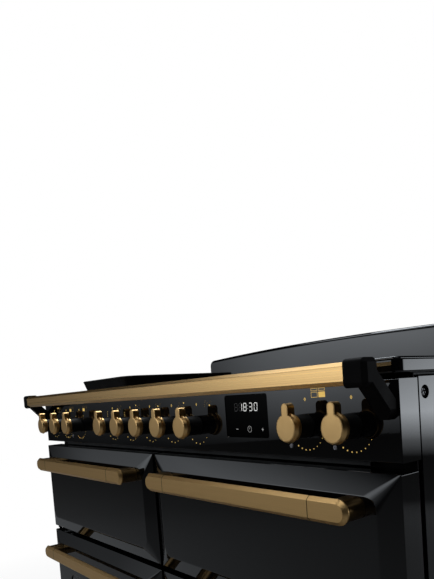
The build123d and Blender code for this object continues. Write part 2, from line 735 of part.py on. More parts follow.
def upstand():
    """Hollow rear upstand with an arched top edge, open underneath and behind."""
    half = SIDE_X
    end_z = TRAY_TOP + UPSTAND_H - UPSTAND_ARCH
    top_z = TRAY_TOP + UPSTAND_H

    def outline(inset):
        w = half - inset
        left = (-w, TRAY_TOP)
        lines = [
            Line(left, (w, TRAY_TOP)),
            Line((w, TRAY_TOP), (w, end_z - inset)),
            ThreePointArc((w, end_z - inset), (0, top_z - inset), (-w, end_z - inset)),
            Line((-w, end_z - inset), left),
        ]
        face = make_face(lines)
        corners = face.vertices().group_by(Axis.Y)[-1]
        return fillet(corners, UPSTAND_CORNER - inset)

    back_y = UPSTAND_Y + UPSTAND_D
    outer = extrude(front_plane(0, back_y, 0) * outline(0.0), UPSTAND_D)
    front_edges = outer.faces().sort_by(Axis.Y)[0].edges().filter_by(lambda e: e.center().Z > TRAY_TOP + 1)
    outer = fillet(front_edges, UPSTAND_ROUND)
    inner = extrude(front_plane(0, back_y + 1, 0) * outline(SHEET), UPSTAND_D + 1 - 4 * SHEET)
    shell = outer - inner - block(
        -half + SHEET, half - SHEET, UPSTAND_Y + 4 * SHEET, back_y + 1, TRAY_TOP - 1, TRAY_TOP + 20
    )
    for cx in (-300, 0, 300):
        for n in range(8):
            x = cx - 84 + 24 * n
            shell -= block(x - 8, x + 8, back_y - 26, back_y - 20, end_z - 20, top_z + 5)
    return shell


def fascia():
    """Control fascia: a shallow tray of sheet with holes for spindles, lenses and the clock."""
    y0 = FASCIA_Y
    y1 = FASCIA_Y + FASCIA_D
    body = block(-HALF, HALF, y0, y1, FASCIA_BOTTOM, FASCIA_TOP)
    inner = block(
        -HALF + SHEET, HALF - SHEET, y0 + FASCIA_T, y1 + 1, FASCIA_BOTTOM + SHEET, FASCIA_TOP - SHEET
    )
    body -= inner
    for z0 in (FASCIA_BOTTOM, FASCIA_TOP - SHEET):
        body += block(-INNER_X + 8, INNER_X - 8, y0 + FASCIA_T, FACE_Y, z0, z0 + SHEET)
    for x in KNOB_XS:
        body -= rod_y(x, y0 - 1, y0 + FASCIA_T + 1, KNOB_Z, SPINDLE_R + RUN_FIT)
    for x in LENS_XS:
        body -= rod_y(x, y0 - 1, y0 + FASCIA_T + 1, FASCIA_BOTTOM + LENS_RISE, LENS_R + SEAT)
    cz = FASCIA_BOTTOM + CLOCK_RISE
    opening = RectangleRounded(CLOCK_W + 2 * SEAT, CLOCK_H + 2 * SEAT, CLOCK_CORNER + SEAT)
    body -= extrude(front_plane(CLOCK_X, y0 + FASCIA_T + 1, cz) * opening, FASCIA_T + 2)
    body = fillet(body.faces().sort_by(Axis.Y)[0].outer_wire().edges(), 1.2)
    rims = body.faces().sort_by(Axis.Y)[0].inner_wires()
    rim = max(rims, key=lambda wire: wire.length)
    return chamfer(rim.edges(), 0.8)


def clock_module():
    """Glass clock front set in the fascia, on a frame and case behind it."""
    cz = FASCIA_BOTTOM + CLOCK_RISE
    y = FASCIA_Y + FASCIA_T
    w = CLOCK_W / 2
    h = CLOCK_H / 2
    pane = RectangleRounded(CLOCK_W, CLOCK_H, CLOCK_CORNER)
    front = extrude(front_plane(CLOCK_X, y, cz) * pane, FASCIA_T - CLOCK_RECESS)
    frame = block(CLOCK_X - w - 5, CLOCK_X + w + 5, y, y + 3, cz - h - 2.5, cz + h + 2.5)
    case = block(CLOCK_X - w + 8, CLOCK_X + w - 8, y + 3, y + 26, cz - h + 6, cz + h - 6)
    return front + frame + case


def lenses():
    y = FASCIA_Y + FASCIA_T
    solids = []
    for x in LENS_XS:
        z = FASCIA_BOTTOM + LENS_RISE
        lens = rod_y(x, FASCIA_Y - 1.4, y, z, LENS_R)
        lens = fillet(lens.edges().sort_by(Axis.Y)[0], 1.2)
        solids.append(lens + rod_y(x, y, y + 6, z, LENS_R + 2))
    return solids


def switches():
    """Rotary controls behind the fascia that the knob spindles turn in."""
    y = FASCIA_Y + FASCIA_T
    solids = []
    for x in KNOB_XS:
        case = block(x - 14, x + 14, y, y + 22, KNOB_Z - 16, KNOB_Z + 16)
        solids.append(case - rod_y(x, y - 1, y + SPINDLE_L - 4, KNOB_Z, SPINDLE_R + RUN_FIT))
    return solids


def knob(x):
    """Coned disc with its finger lever up, a ring, a long skirt and the spindle."""
    back = FASCIA_Y - KNOB_STAND_OFF
    front = FASCIA_Y - KNOB_REACH
    cap_y = front + KNOB_CAP_L
    ring_y = cap_y + KNOB_RING_L
    cone_y = front + KNOB_CONE_L
    disc = rod_y(x, cone_y, cap_y, KNOB_Z, KNOB_R)
    slope = math.degrees(math.atan2(KNOB_R - KNOB_FACE_R, KNOB_CONE_L))
    disc += extrude(front_plane(x, cone_y, KNOB_Z) * Circle(KNOB_R), KNOB_CONE_L, taper=slope)
    stem = KNOB_LEVER_UP - KNOB_LEVER_W / 2
    outline = Pos(0, stem / 2) * Rectangle(KNOB_LEVER_W, stem) + Pos(0, stem) * Circle(KNOB_LEVER_W / 2)
    lever = extrude(front_plane(x, front + KNOB_LEVER_D, KNOB_Z) * outline, KNOB_LEVER_D)
    lever = chamfer(lever.faces().sort_by(Axis.Y)[0].edges(), KNOB_EDGE)
    ring = rod_y(x, cap_y, ring_y, KNOB_Z, KNOB_RING_R)
    skirt = rod_y(x, ring_y, back, KNOB_Z, KNOB_SKIRT_R)
    spindle = rod_y(x, back, back + SPINDLE_L - 2, KNOB_Z, SPINDLE_R)
    return union([disc, lever, ring, skirt, spindle])


def handrail():
    """Straight bar across the front with bevelled long edges."""
    bar = block(-RAIL_HALF, RAIL_HALF, -RAIL_REACH, RAIL_BACK_Y, RAIL_BOTTOM, RAIL_TOP)
    return chamfer(bar.edges().filter_by(Axis.X), RAIL_EDGE)


def rail_bracket():
    """Right-hand bracket: a rounded cap on the rail's end and an arm that slopes down to the fascia."""
    x0 = RAIL_HALF
    x1 = RAIL_HALF + BRACKET_W
    z0 = RAIL_BOTTOM - CAP_OVERSIZE
    z1 = RAIL_TOP + CAP_OVERSIZE
    back = RAIL_BACK_Y + CAP_OVERSIZE
    cap = block(x0, x1, -RAIL_REACH, back, z0, z1)
    cap = fillet(cap.edges().filter_by(Axis.X), CAP_ROUND)
    cap = chamfer(cap.faces().sort_by(Axis.X)[-1].edges(), CAP_EDGE)
    foot_z = FASCIA_BOTTOM + ARM_FOOT_RISE
    profile = [
        (FASCIA_Y, foot_z),
        (FASCIA_Y - 6, foot_z),
        (FASCIA_Y - 8, foot_z + 2),
        (back - 15, z0 + 3.5),
        (back - 15, z1 - 10),
        (back - 5, z1 - 10),
        (FASCIA_Y, foot_z + ARM_FOOT_H),
    ]
    arm = extrude(side_plane(x1 - ARM_W) * make_face(Polyline(*profile, close=True)), ARM_W)
    corner = [(x1 - ARM_W / 2, foot_z - 1), (x1 + 1, foot_z - 1), (x1 + 1, foot_z + ARM_W / 2)]
    arm -= extrude(front_plane(0, FASCIA_Y + 1, 0) * make_face(Polyline(*corner, close=True)), 40)
    arm = chamfer(arm.faces().sort_by(Axis.X)[-1].edges(), ARM_EDGE)
    return cap + arm


def vent_trim():
    """Strip in the gap between the upper doors and the fascia, with upright slots behind its lip."""
    z0 = UPPER_TOP + 2
    z1 = FASCIA_BOTTOM - 1.5
    x0 = -HALF + VENT_LEFT
    x1 = HALF - VENT_RIGHT
    lip_y = FACE_Y - VENT_D
    strip = block(x0, x1, lip_y, FACE_Y, z0, z1)
    half_l = VENT_SLOT_L / 2
    pitch = (x1 - x0 - 2 * VENT_END) / (VENT_SLOTS - 1)
    for n in range(VENT_SLOTS):
        x = x0 + VENT_END + pitch * n
        strip -= block(x - half_l, x + half_l, lip_y + VENT_LIP, FACE_Y - VENT_LIP, z0 - 1, z1 + 1)
    return strip


def terminal_box():
    """Supply terminal box on the rear panel with a round cable entry underneath."""
    x1 = HALF - TERMINAL_SIDE
    x0 = x1 - TERMINAL_W
    y0 = BODY_REAR_Y
    y1 = REAR_Y - TERMINAL_CLEAR
    z0 = TERMINAL_Z
    z1 = z0 + TERMINAL_H
    box = block(x0, x1, y0, y1, z0, z1)
    box -= block(x0 + SHEET, x1 - SHEET, y0 + SHEET, y1 - SHEET, z0 + SHEET, z1 - SHEET)
    return box - rod_z((x0 + x1) / 2, (y0 + y1) / 2, z0 - 1, z0 + SHEET + 1, ENTRY_R)


def rear_panel():
    panel = block(-INNER_X, INNER_X, BODY_REAR_Y - SHEET, BODY_REAR_Y, BASE_Z, TRAY_BOTTOM)
    for side in (-1, 1):
        for n in range(7):
            z = 700 + 14 * n
            lo, hi = sorted((side * 180, side * 420))
            panel -= block(lo, hi, BODY_REAR_Y - SHEET - 1, BODY_REAR_Y + 1, z - 2.5, z + 2.5)
    return panel


def plinth():
    plate = block(-SIDE_X, SIDE_X, FACE_Y - SHEET, FACE_Y, PLINTH_FLOOR_GAP, PLINTH_TOP)
    for side in (-1, 1):
        lo, hi = sorted((side * SIDE_X, side * (SIDE_X - SHEET)))
        plate += block(lo, hi, FACE_Y - SHEET, FACE_Y + 40, PLINTH_FLOOR_GAP, BASE_Z)
    return plate


def griddle():
    """Cast plate with flared walls that lies loose on the left cooking zones."""
    cy = GRIDDLE_FRONT_Y + GRIDDLE_D / 2
    z0 = HOB_HEIGHT + SEAT
    z1 = HOB_HEIGHT + GRIDDLE_H

    def rim(z, inset, corner):
        shape = RectangleRounded(GRIDDLE_W - 2 * inset, GRIDDLE_D - 2 * inset, corner)
        return level_plane(GRIDDLE_X, cy, z) * shape

    outside = loft([rim(z0, GRIDDLE_FLARE, GRIDDLE_CORNER - GRIDDLE_FLARE), rim(z1, 0, GRIDDLE_CORNER)], ruled=True)
    low = GRIDDLE_FLARE + GRIDDLE_WALL
    floor_z = z0 + GRIDDLE_BASE
    inside = loft(
        [rim(floor_z, low, GRIDDLE_CORNER - low), rim(z1 + 1, GRIDDLE_WALL, GRIDDLE_CORNER - GRIDDLE_WALL)],
        ruled=True,
    )
    return outside - inside


def group(solids):
    return Compound(children=solids)


def both(solids):
    return Compound(children=solids + [mirrored(s) for s in solids])


def write_parts():
    os.makedirs("parts", exist_ok=True)
    save(chassis(), "chassis")
    save(mirrored(side_panel()), "left_side_panel")
    save(side_panel(), "right_side_panel")
    save(rear_panel(), "rear_panel")
    save(plinth(), "plinth")
    save(face_frame(), "face_frame")
    save(terminal_box(), "terminal_box")
    seals = [
        seal_ring(OVEN_X0, OVEN_X1, OVEN_Z0, OVEN_Z1),
        seal_ring(-OVEN_X1, -OVEN_X0, OVEN_Z0, OVEN_Z1),
    ]
    save(group(seals), "door_seals")
    pivots = oven_pivots()
    save(group(pivots + [mirrored(s) for s in pivots] + grill_lugs()), "door_hinges")

    save(liner_box(-GRILL_X1, -GRILL_X0, GRILL_Z0, GRILL_Z1, GRILL_DEPTH), "grill_liner")
    save(drawer_housing(), "drawer_housing")
    save(grill_element(), "grill_element")
    save(grill_pan(), "grill_pan")
    save(oven_liner(), "right_oven_liner")
    save(mirrored(oven_liner()), "left_oven_liner")
    save(both(oven_shelving()), "oven_shelving")
    save(both([fan_cover(), fan_motor()]), "fan_housings")
    save(fan_wheel(), "right_oven_fan")
    save(mirrored(fan_wheel()), "left_oven_fan")

    save(hob_tray(), "hob_tray")
    save(hob_glass(), "hob_glass")
    save(coil_carrier(), "coil_carrier")
    save(upstand(), "upstand")
    save(griddle(), "griddle_plate")

    save(fascia(), "control_fascia")
    save(clock_module(), "clock_module")
    save(group(lenses()), "indicator_lenses")
    save(group(switches()), "control_switches")
    save(vent_trim(), "vent_trim")
    for x, name in zip(KNOB_XS, KNOB_NAMES):
        save(knob(x), name)
    save(handrail(), "handrail")
    save(both([rail_bracket()]), "rail_brackets")

    grill = grill_door_parts()
    save(grill["panel"], "grill_door_panel")
    save(grill["liner"], "grill_door_liner")
    save(grill["handle"], "grill_door_handle")
    oven = oven_door_parts()
    for piece, shape in oven.items():
        save(shape, f"right_oven_door_{piece}")
        save(mirrored(shape), f"left_oven_door_{piece}")
    drawer = drawer_parts()
    for piece, shape in drawer.items():
        save(shape, f"drawer_{piece}")

    foot_x = SIDE_X - FOOT_IN
    save(foot(-foot_x), "left_foot")
    save(foot(foot_x), "right_foot")
    save(roller(-foot_x), "left_roller")
    save(roller(foot_x), "right_roller")
    save(group([roller_bracket(-foot_x), roller_bracket(foot_x)]), "roller_brackets")


write_parts()
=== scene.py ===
import json
import math

import bpy
import numpy as np
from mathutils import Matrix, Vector


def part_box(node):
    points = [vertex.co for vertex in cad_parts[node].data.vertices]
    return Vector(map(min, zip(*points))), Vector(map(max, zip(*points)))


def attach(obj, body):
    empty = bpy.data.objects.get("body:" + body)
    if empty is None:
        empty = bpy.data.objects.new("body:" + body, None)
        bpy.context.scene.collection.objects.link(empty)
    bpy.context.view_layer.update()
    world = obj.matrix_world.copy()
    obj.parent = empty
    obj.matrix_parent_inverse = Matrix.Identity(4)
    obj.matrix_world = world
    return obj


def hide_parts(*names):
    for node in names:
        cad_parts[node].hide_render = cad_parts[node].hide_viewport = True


bl_info = {
    "name": "Induction range cooker",
    "version": (1, 0, 0),
    "blender": (4, 5, 0),
    "location": "View3D > Sidebar > Cooker",
    "description": "Fronts, brass trim, controls, hob and stage of a range cooker on its packed frame",
    "category": "Object",
}

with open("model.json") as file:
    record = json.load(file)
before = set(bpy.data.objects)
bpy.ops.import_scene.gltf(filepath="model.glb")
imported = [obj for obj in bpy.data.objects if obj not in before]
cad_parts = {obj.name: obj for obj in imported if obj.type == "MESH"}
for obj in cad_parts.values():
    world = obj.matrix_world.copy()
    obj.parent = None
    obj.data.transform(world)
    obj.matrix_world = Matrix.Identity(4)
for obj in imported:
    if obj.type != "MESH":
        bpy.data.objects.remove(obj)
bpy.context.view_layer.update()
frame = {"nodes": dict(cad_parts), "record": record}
ROOT = "cooker"
FINISHES = {}
ZONES = ("zone_one", "zone_two", "zone_three", "zone_four", "zone_five")
HEATS = ("left_oven_mode", "left_oven_heat", "drawer_heat", "right_oven_heat")
KNOBS = ("grill", *HEATS[:2], *ZONES, *HEATS[2:])
FRONTS = {
    "grill_door": "grill_door_panel",
    "drawer": "drawer_front",
    "left_oven_door": "left_oven_door_panel",
    "right_oven_door": "right_oven_door_panel",
}
CREASE = 0.6
BLACK, WHITE = (0.0, 0.0, 0.0, 1.0), (1.0, 1.0, 1.0, 1.0)

# Name, colour, roughness range, scale and height of the grain, shine
COATED = (
    ("black_plastic", (0.004, 0.004, 0.004), (0.40, 0.52), 1100.0, 0.06, 0.2),
    ("black_rubber", (0.012, 0.012, 0.012), (0.65, 0.8), 700.0, 0.15, 0.3),
    ("black_cast_iron", (0.003, 0.003, 0.003), (0.42, 0.58), 500.0, 0.2, 0.15),
    ("grey_lens", (0.40, 0.40, 0.44), (0.12, 0.2), 300.0, 0.02, 0.5),
    # The clock's rim is a faint grey band that stands in for light on the bevelled edge round the clock
    # glass: a painted highlight.
    ("clock_edge_painted_highlight", (0.012, 0.012, 0.0125), (0.3, 0.4), 300.0, 0.02, 0.15),
)
# Name, dark and light lines, how often they change along X, Y and Z, roughness range, height
BRUSHED = (
    # The handle posts wear a much darker copy of the handle brass: painted shade on the posts.
    ("post_brass_painted_shade", (0.20, 0.126, 0.053), (0.24, 0.152, 0.063), (70.0, 70.0, 70.0), (0.30, 0.36), 0.002),
    ("seam_brass", (0.012, 0.008, 0.004), (0.02, 0.013, 0.006), (900.0, 60.0, 60.0), (0.5, 0.6), 0.02),
    ("stainless_steel", (0.42, 0.42, 0.42), (0.6, 0.6, 0.6), (5.0, 700.0, 700.0), (0.26, 0.4), 0.05),
    ("zinc_steel", (0.40, 0.41, 0.42), (0.58, 0.59, 0.60), (45.0, 45.0, 45.0), (0.34, 0.5), 0.03),
    # The aluminium coil carrier is coloured near black: painted shade where the carrier shows through a
    # gap.
    ("coil_aluminium", (0.018, 0.018, 0.019), (0.03, 0.03, 0.031), (9.0, 300.0, 9.0), (0.5, 0.6), 0.04),
    ("bolt_steel", (0.05, 0.05, 0.052), (0.09, 0.09, 0.092), (60.0, 60.0, 60.0), (0.2, 0.3), 0.01),
    ("chrome_wire", (0.62, 0.62, 0.63), (0.78, 0.78, 0.79), (60.0, 60.0, 60.0), (0.08, 0.16), 0.01),
    ("heater_steel", (0.10, 0.09, 0.085), (0.22, 0.20, 0.19), (90.0, 90.0, 90.0), (0.45, 0.6), 0.05),
)
# Nodes that don't wear the finish of their material slot
OTHER_FINISH = {
    "hob_tray": "gloss_black_enamel", "clock_module": "display_glass", "vent_trim": "black_plastic",
}


def length(name, description, default):
    """A size in metres."""
    return bpy.props.FloatProperty(
        name=name, description=description, default=default, min=0.0, precision=4, unit="LENGTH"
    )


def colour(name, description, default):
    """A colour with three channels."""
    return bpy.props.FloatVectorProperty(
        name=name, description=description, default=default, min=0.0, max=1.0, size=3, subtype="COLOR"
    )


class FinishColours(bpy.types.PropertyGroup):
    """Colours of the cooker's finishes."""

    enamel: colour("Enamel", "Gloss black enamel of the fronts and panels", (0.002, 0.002, 0.0023))
    satin: colour("Satin black", "Powder coat of the brackets and trim", (0.006, 0.0056, 0.0057))
    brass: colour("Brass", "Lacquered brushed brass", (0.74, 0.472, 0.194))
    brass_line: colour("Brass lines", "Darker brushing lines in the brass", (0.70, 0.443, 0.181))
    mark: colour("Printed marks", "Gold print on the fascia", (0.82, 0.54, 0.14))
    digit: colour("Clock digits", "Lit figures of the clock", (0.86, 0.86, 0.84))
    zone: colour("Hob print", "Grey print on the hob glass", (0.22, 0.22, 0.23))
    floor: colour("Floor", "Pale studio floor", (0.31, 0.31, 0.31))


class FrontSizes(bpy.types.PropertyGroup):
    """Sizes of the pressed door and drawer fronts."""

    bevel_w: length("Bevel width", "Width of the sloping border above and below", 0.0267)
    bevel_side: length("Bevel width at the sides", "Width of the border left and right", 0.0287)
    depth: length("Front depth", "From the outer edge of a front to its back", 0.033)
    edge_round: length("Edge rounding", "Radius along the outer edge", 0.0012)
    field_round: length("Field rounding", "Radius where the border meets the field", 0.0055)
    corner: length("Outer corner", "Corner radius of the outline", 0.0018)
    field_corner: length("Field corner", "Corner radius of the field", 0.021)
    sheet: length("Sheet", "Thickness of the pressed sheet", 0.002)
    window_w: length("Window width", "Width of the oven window", 0.334)
    window_h: length("Window height", "Height of the oven window", 0.250)
    window_drop: length("Window drop", "From the front's top edge down to the window", 0.0935)
    lug_in: length("Lug distance", "From the grill door's sides to its lugs", 0.064)
    lug_gap: length("Lug gap", "Half width of the gap in the flange at a lug", 0.0035)


class TrimSizes(bpy.types.PropertyGroup):
    """Sizes of the brass handles and the handrail."""

    handle_edge: length("Handle chamfer", "Chamfer round the face of a handle", 0.0046)
    handle_t: length("Handle thickness", "Thickness of a handle's bar", 0.007)
    post_l: length("Post length", "Length of a handle post along the bar", 0.036)
    post_inset: length("Post inset", "How far a post sits inside the bar's outline", 0.0016)
    seam_in: length("Seam distance", "From a handle's end to the joint line of its cap", 0.060)
    seam_w: length("Seam width", "Width of the joint line", 0.0011)
    rail_edge: length("Rail chamfer", "Chamfer along the handrail", 0.0045)
    rail_round: length("Rail rounding", "Radius on the chamfer's edges", 0.0007)
    rail_groove: length("Rail groove", "Width of the groove under the upper chamfer", 0.0006)


class KnobSizes(bpy.types.PropertyGroup):
    """Sizes of the lever knobs."""

    disc: length("Disc radius", "Largest radius of the coned brass disc", 0.0192)
    face: length("Face radius", "Radius of the disc's face", 0.0169)
    cone: length("Cone depth", "From the face back to the largest radius", 0.0049)
    cap: length("Cap depth", "Depth of the brass disc", 0.0062)
    lever_w: length("Lever width", "Width of the finger lever", 0.0122)
    lever_up: length("Lever reach", "From the axis to the lever's tip", 0.0305)
    lever_d: length("Lever depth", "Depth of the finger lever", 0.012)
    blend: length("Lever blend", "Radius between the lever and the face", 0.0002)
    rim_w: length("Rim width", "Width of the shallow bevel round the face", 0.0014)
    rim_d: length("Rim depth", "Depth of the shallow bevel round the face", 0.0004)
    ring: length("Ring radius", "Radius of the brass ring behind the disc", 0.0170)
    ring_d: length("Ring depth", "From the disc back to the end of the ring", 0.0063)
    groove: length("Groove radius", "Radius of the groove between disc and ring", 0.0156)
    skirt: length("Skirt radius", "Radius of the black skirt", 0.0152)


class HobSizes(bpy.types.PropertyGroup):
    """Sizes of the hob glass, the griddle plate, the upstand and the side bolts."""

    glass_corner: length("Glass corner", "Corner radius of the hob glass", 0.007)
    arch: length("Upstand arch", "Rise of the upstand's top edge", 0.013)
    arch_corner: length("Upstand corner", "Radius of the upstand's upper corners", 0.018)
    arch_round: length("Upstand rounding", "Radius along the upstand's front edge", 0.009)
    wall: length("Upstand wall", "Thickness of the upstand's walls", 0.002)
    face: length("Upstand face", "Thickness of the upstand's face", 0.008)
    bolt: length("Bolt washer", "Radius of the side panels' bolt washers", 0.0076)
    bolt_head: length("Bolt head", "Corner radius of the bolts' six-sided heads", 0.0059)
    plate_corner: length("Griddle corner", "Corner radius of the griddle plate", 0.035)
    plate_flare: length("Griddle flare", "How far the plate's wall leans out", 0.009)
    plate_wall: length("Griddle wall", "Thickness of the plate's wall", 0.005)
    plate_base: length("Griddle base", "Thickness of the plate's base", 0.008)


class StageSettings(bpy.types.PropertyGroup):
    """Camera, floor and lamps."""

    camera_at: bpy.props.FloatVectorProperty(
        name="Camera place", description="Where the camera stands", size=3, subtype="TRANSLATION",
        default=(0.89634, -0.73894, 0.87592),
    )
    camera_turn: bpy.props.FloatVectorProperty(
        name="Camera turn", description="Rotation of the camera", size=3, subtype="EULER",
        default=(1.508998, 0.066705, 0.826793),
    )
    lens: bpy.props.FloatProperty(name="Lens", description="Focal length", default=33.896, min=1.0)
    shift: bpy.props.FloatVectorProperty(
        name="Shift", description="Sideways and upward shift of the frame", size=2,
        default=(-0.12608, 0.23186),
    )
    tint: colour("Light tint", "Cool colour of the lamps and the room", (0.885, 0.94, 1.0))
    sky: bpy.props.FloatProperty(
        name="Room light", description="Even light of the room", default=0.1, min=0.0
    )


def sizes(name):
    """The scene's settings of one kind."""
    return getattr(bpy.context.scene, "cooker_" + name)


def plan(node, axes="xz"):
    """A node's box: its two corners, and its centre and half sizes along two axes."""
    low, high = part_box(node)
    ends = np.array([[getattr(corner, axis) for axis in axes] for corner in (low, high)])
    return low, high, ends.mean(0), (ends[1] - ends[0]) / 2


def rounded_outline(half_w, half_h, radius, steps=10):
    """Rectangles with round corners, one row for each size: a corner is its centre plus radius times
    (cos t, sin t) over a quarter turn, and the corners follow each other anticlockwise."""
    half_w, half_h, radius = np.broadcast_arrays(*np.atleast_1d(half_w, half_h, radius))
    turn = (np.arange(4)[:, None] * math.pi / 2 + np.linspace(0.0, math.pi / 2, steps)).ravel()
    side_x = np.repeat([1.0, -1.0, -1.0, 1.0], steps)
    side_z = np.repeat([1.0, 1.0, -1.0, -1.0], steps)
    x = (half_w - radius)[:, None] * side_x + radius[:, None] * np.cos(turn)
    z = (half_h - radius)[:, None] * side_z + radius[:, None] * np.sin(turn)
    return np.stack([x, z], -1)


def rounded_path(points, radii, steps=6):
    """A path whose inner corners are arcs: each arc is its centre plus radius times the turned pair of
    the incoming direction and the inward normal, from one tangent point to the other."""
    points = np.asarray(points, float)
    rows = [points[:1]]
    for before, corner, after, radius in zip(points[:-2], points[1:-1], points[2:], radii):
        into = (corner - before) / np.linalg.norm(corner - before)
        away = (after - corner) / np.linalg.norm(after - corner)
        angle = math.acos(float(np.clip(into @ away, -1.0, 1.0)))
        if radius <= 0.0 or angle < 1e-6:
            rows.append(corner[None])
            continue
        inward = away - into * (into @ away)
        inward /= np.linalg.norm(inward)
        centre = corner - into * radius * math.tan(angle / 2) + inward * radius
        t = np.linspace(0.0, angle, steps)[:, None]
        rows.append(centre + radius * (into * np.sin(t) - inward * np.cos(t)))
    rows.append(points[-1:])
    return np.vstack(rows)


def rounded_ring(points, radius, steps=4):
    """A closed section with its corners rounded by one radius or one for each: the rounded path from
    the middle of the last side once round, without the repeated end."""
    points = np.asarray(points, float)
    middle = (points[0] + points[-1]) / 2
    path = np.vstack([middle, points, middle])
    return rounded_path(path, np.broadcast_to(radius, len(points)), steps)[:-1]


def disc_outline(radius, steps=10):
    """A flat disc: radius times (cos t, sin t)."""
    t = np.linspace(0.0, 2 * math.pi, steps, endpoint=False)
    return radius * np.stack([np.cos(t), np.sin(t)], -1)


def bar_outline(half_w, half_h):
    """A flat bar: its four corners."""
    return np.array([(half_w, -half_h), (half_w, half_h), (-half_w, half_h), (-half_w, -half_h)])


def segment_outline(long, thick):
    """One bar of a figure: a flat bar with pointed ends, along X."""
    a, b = long / 2, thick / 2
    return np.array([(a, 0.0), (a - b, b), (b - a, b), (-a, 0.0), (b - a, -b), (a - b, -b)])


def keyhole_outline(radius, lever_w, lever_up, blend, steps=10):
    """Disc with an upright round-ended lever: the half circle of the tip, a concave arc that touches
    the lever's side and the disc, the disc's long arc and the mirrored concave arc, anticlockwise."""
    half = lever_w / 2
    aside = half + blend
    above = math.sqrt((radius + blend) ** 2 - aside**2)
    meet = math.atan2(above, aside)
    tip = np.linspace(0.0, math.pi, 2 * steps)
    left = np.linspace(0.0, -meet, steps)[:-1]
    disc = np.linspace(math.pi - meet, 2 * math.pi + meet, 7 * steps)
    right = np.linspace(math.pi + meet, math.pi, steps)[1:]
    return np.vstack([
        np.stack([half * np.cos(tip), lever_up - half + half * np.sin(tip)], -1),
        np.stack([-aside + blend * np.cos(left), above + blend * np.sin(left)], -1),
        radius * np.stack([np.cos(disc), np.sin(disc)], -1),
        np.stack([aside + blend * np.cos(right), above + blend * np.sin(right)], -1),
    ])


def arched_outline(half_w, base, end, arch, corner, inset, steps=10):
    """Upright plates with an arched top, one row for each inset: every point is the centre of its arc
    plus (radius less inset) times (cos t, sin t), over a corner, the long arch and the other corner,
    and two points close the row along the base."""
    radius = (half_w**2 + arch**2) / (2 * arch)
    hub = end + arch - radius
    aside = half_w - corner
    lift = hub + math.sqrt((radius - corner) ** 2 - aside**2)
    turn = math.atan2(lift - hub, aside)
    t = np.concatenate([
        np.linspace(0.0, turn, steps), np.linspace(turn, math.pi - turn, 6 * steps)[1:-1],
        np.linspace(math.pi - turn, math.pi, steps),
    ])
    spans = (steps, 6 * steps - 2, steps)
    x, z = np.repeat([aside, 0.0, -aside], spans), np.repeat([lift, hub, lift], spans)
    reach = np.repeat([corner, radius, corner], spans) - inset[:, None]
    top = np.stack([x + reach * np.cos(t), z + reach * np.sin(t)], -1)
    foot = np.stack([np.stack([side * (half_w - inset), base], -1) for side in (-1.0, 1.0)], 1)
    return np.concatenate([top, foot], 1)


def drawn_in(outline, distance):
    """An outline moved inwards by several distances: each point shifts along its inward normal, which
    is the quarter-turned difference of its two neighbours."""
    along = np.roll(outline, -1, 0) - np.roll(outline, 1, 0)
    inward = np.stack([-along[:, 1], along[:, 0]], -1)
    inward /= np.linalg.norm(inward, axis=1, keepdims=True)
    return outline + np.asarray(distance)[:, None, None] * inward


def lying(outline, level, centre=(0.0, 0.0)):
    """Level outlines about a centre in X and Y, one height Z for each row."""
    flat = np.broadcast_to(outline + np.asarray(centre), (len(level), *outline.shape[-2:]))
    height = np.broadcast_to(np.asarray(level)[:, None, None], (*flat.shape[:2], 1))
    return np.concatenate([flat, height], -1)


def upright(outline, depth, centre=(0.0, 0.0)):
    """Upright outlines about a centre in X and Z, one depth Y for each row."""
    return lying(outline, depth, centre)[..., [0, 2, 1]]


def sideways(section, along):
    """Sections in Y and Z, one place X for each row."""
    return lying(section, along)[..., [2, 0, 1]]


def turned(profile, centre, steps=56):
    """A profile of (radius, depth) spun about an axis along Y: radius times (cos t, sin t)."""
    return upright(profile[:, 0][:, None, None] * disc_outline(1.0, steps), profile[:, 1], centre)


def skin(rows, closed=False, open_start=False):
    """A surface of rings joined row to row: its points, its four-sided faces and its flat end faces.
    Closed, the last ring is joined to the first and there are no ends."""
    count, size = rows.shape[:2]
    index = np.arange(count * size).reshape(count, size)
    ends = [] if closed else [index[0, ::-1], index[-1]][open_start:]
    if closed:
        index = np.vstack([index, index[:1]])
    near, far = index[:-1], index[1:]
    quads = np.stack([near, np.roll(near, -1, 1), np.roll(far, -1, 1), far], -1).reshape(-1, 4)
    return rows.reshape(-1, 3), quads, ends


def joined(*parts):
    """Several surfaces as one: their points follow each other and their faces are counted on."""
    points, quads, ends = zip(*parts)
    starts = np.cumsum([0, *(len(part) for part in points[:-1])])
    return (
        np.vstack(points),
        np.vstack([part + start for part, start in zip(quads, starts)]),
        [end + start for part, start in zip(ends, starts) for end in part],
    )


def plates(outline, places, back, front):
    """Copies of one outline as thin upright plates: the outline about each place, at two depths."""
    return joined(*(skin(upright(outline, (back, front), place)) for place in places))


def hoop(outer, inner, places, back, front):
    """Upright flat hoops: an outer and an inner outline at two depths, joined all round."""
    rings = np.stack([inner, outer, outer, inner])
    depths = (back, back, front, front)
    return joined(*(skin(upright(rings, depths, place), closed=True) for place in places))


def new_object(name, surface, material):
    """A surface as a mesh object of the scene."""
    points, quads, ends = surface
    mesh = bpy.data.meshes.new(name)
    mesh.from_pydata(points.tolist(), [], quads.tolist() + [end.tolist() for end in ends])
    mesh.materials.append(material)
    made = bpy.data.objects.new(name, mesh)
    bpy.context.scene.collection.objects.link(made)
    return made


def piece(name, surface, finish, body, nodes=()):
    """A surface as a piece that rides on a body and hides the nodes it stands for."""
    made = new_object(name, surface, FINISHES[finish])
    mesh = made.data
    mesh.polygons.foreach_set("use_smooth", np.ones(len(mesh.polygons), bool))
    mesh.set_sharp_from_angle(angle=CREASE)
    flat = made.modifiers.new("flat_faces", "WEIGHTED_NORMAL")
    flat.keep_sharp = True
    flat.weight = 60
    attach(made, body)
    if nodes:
        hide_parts(*nodes)


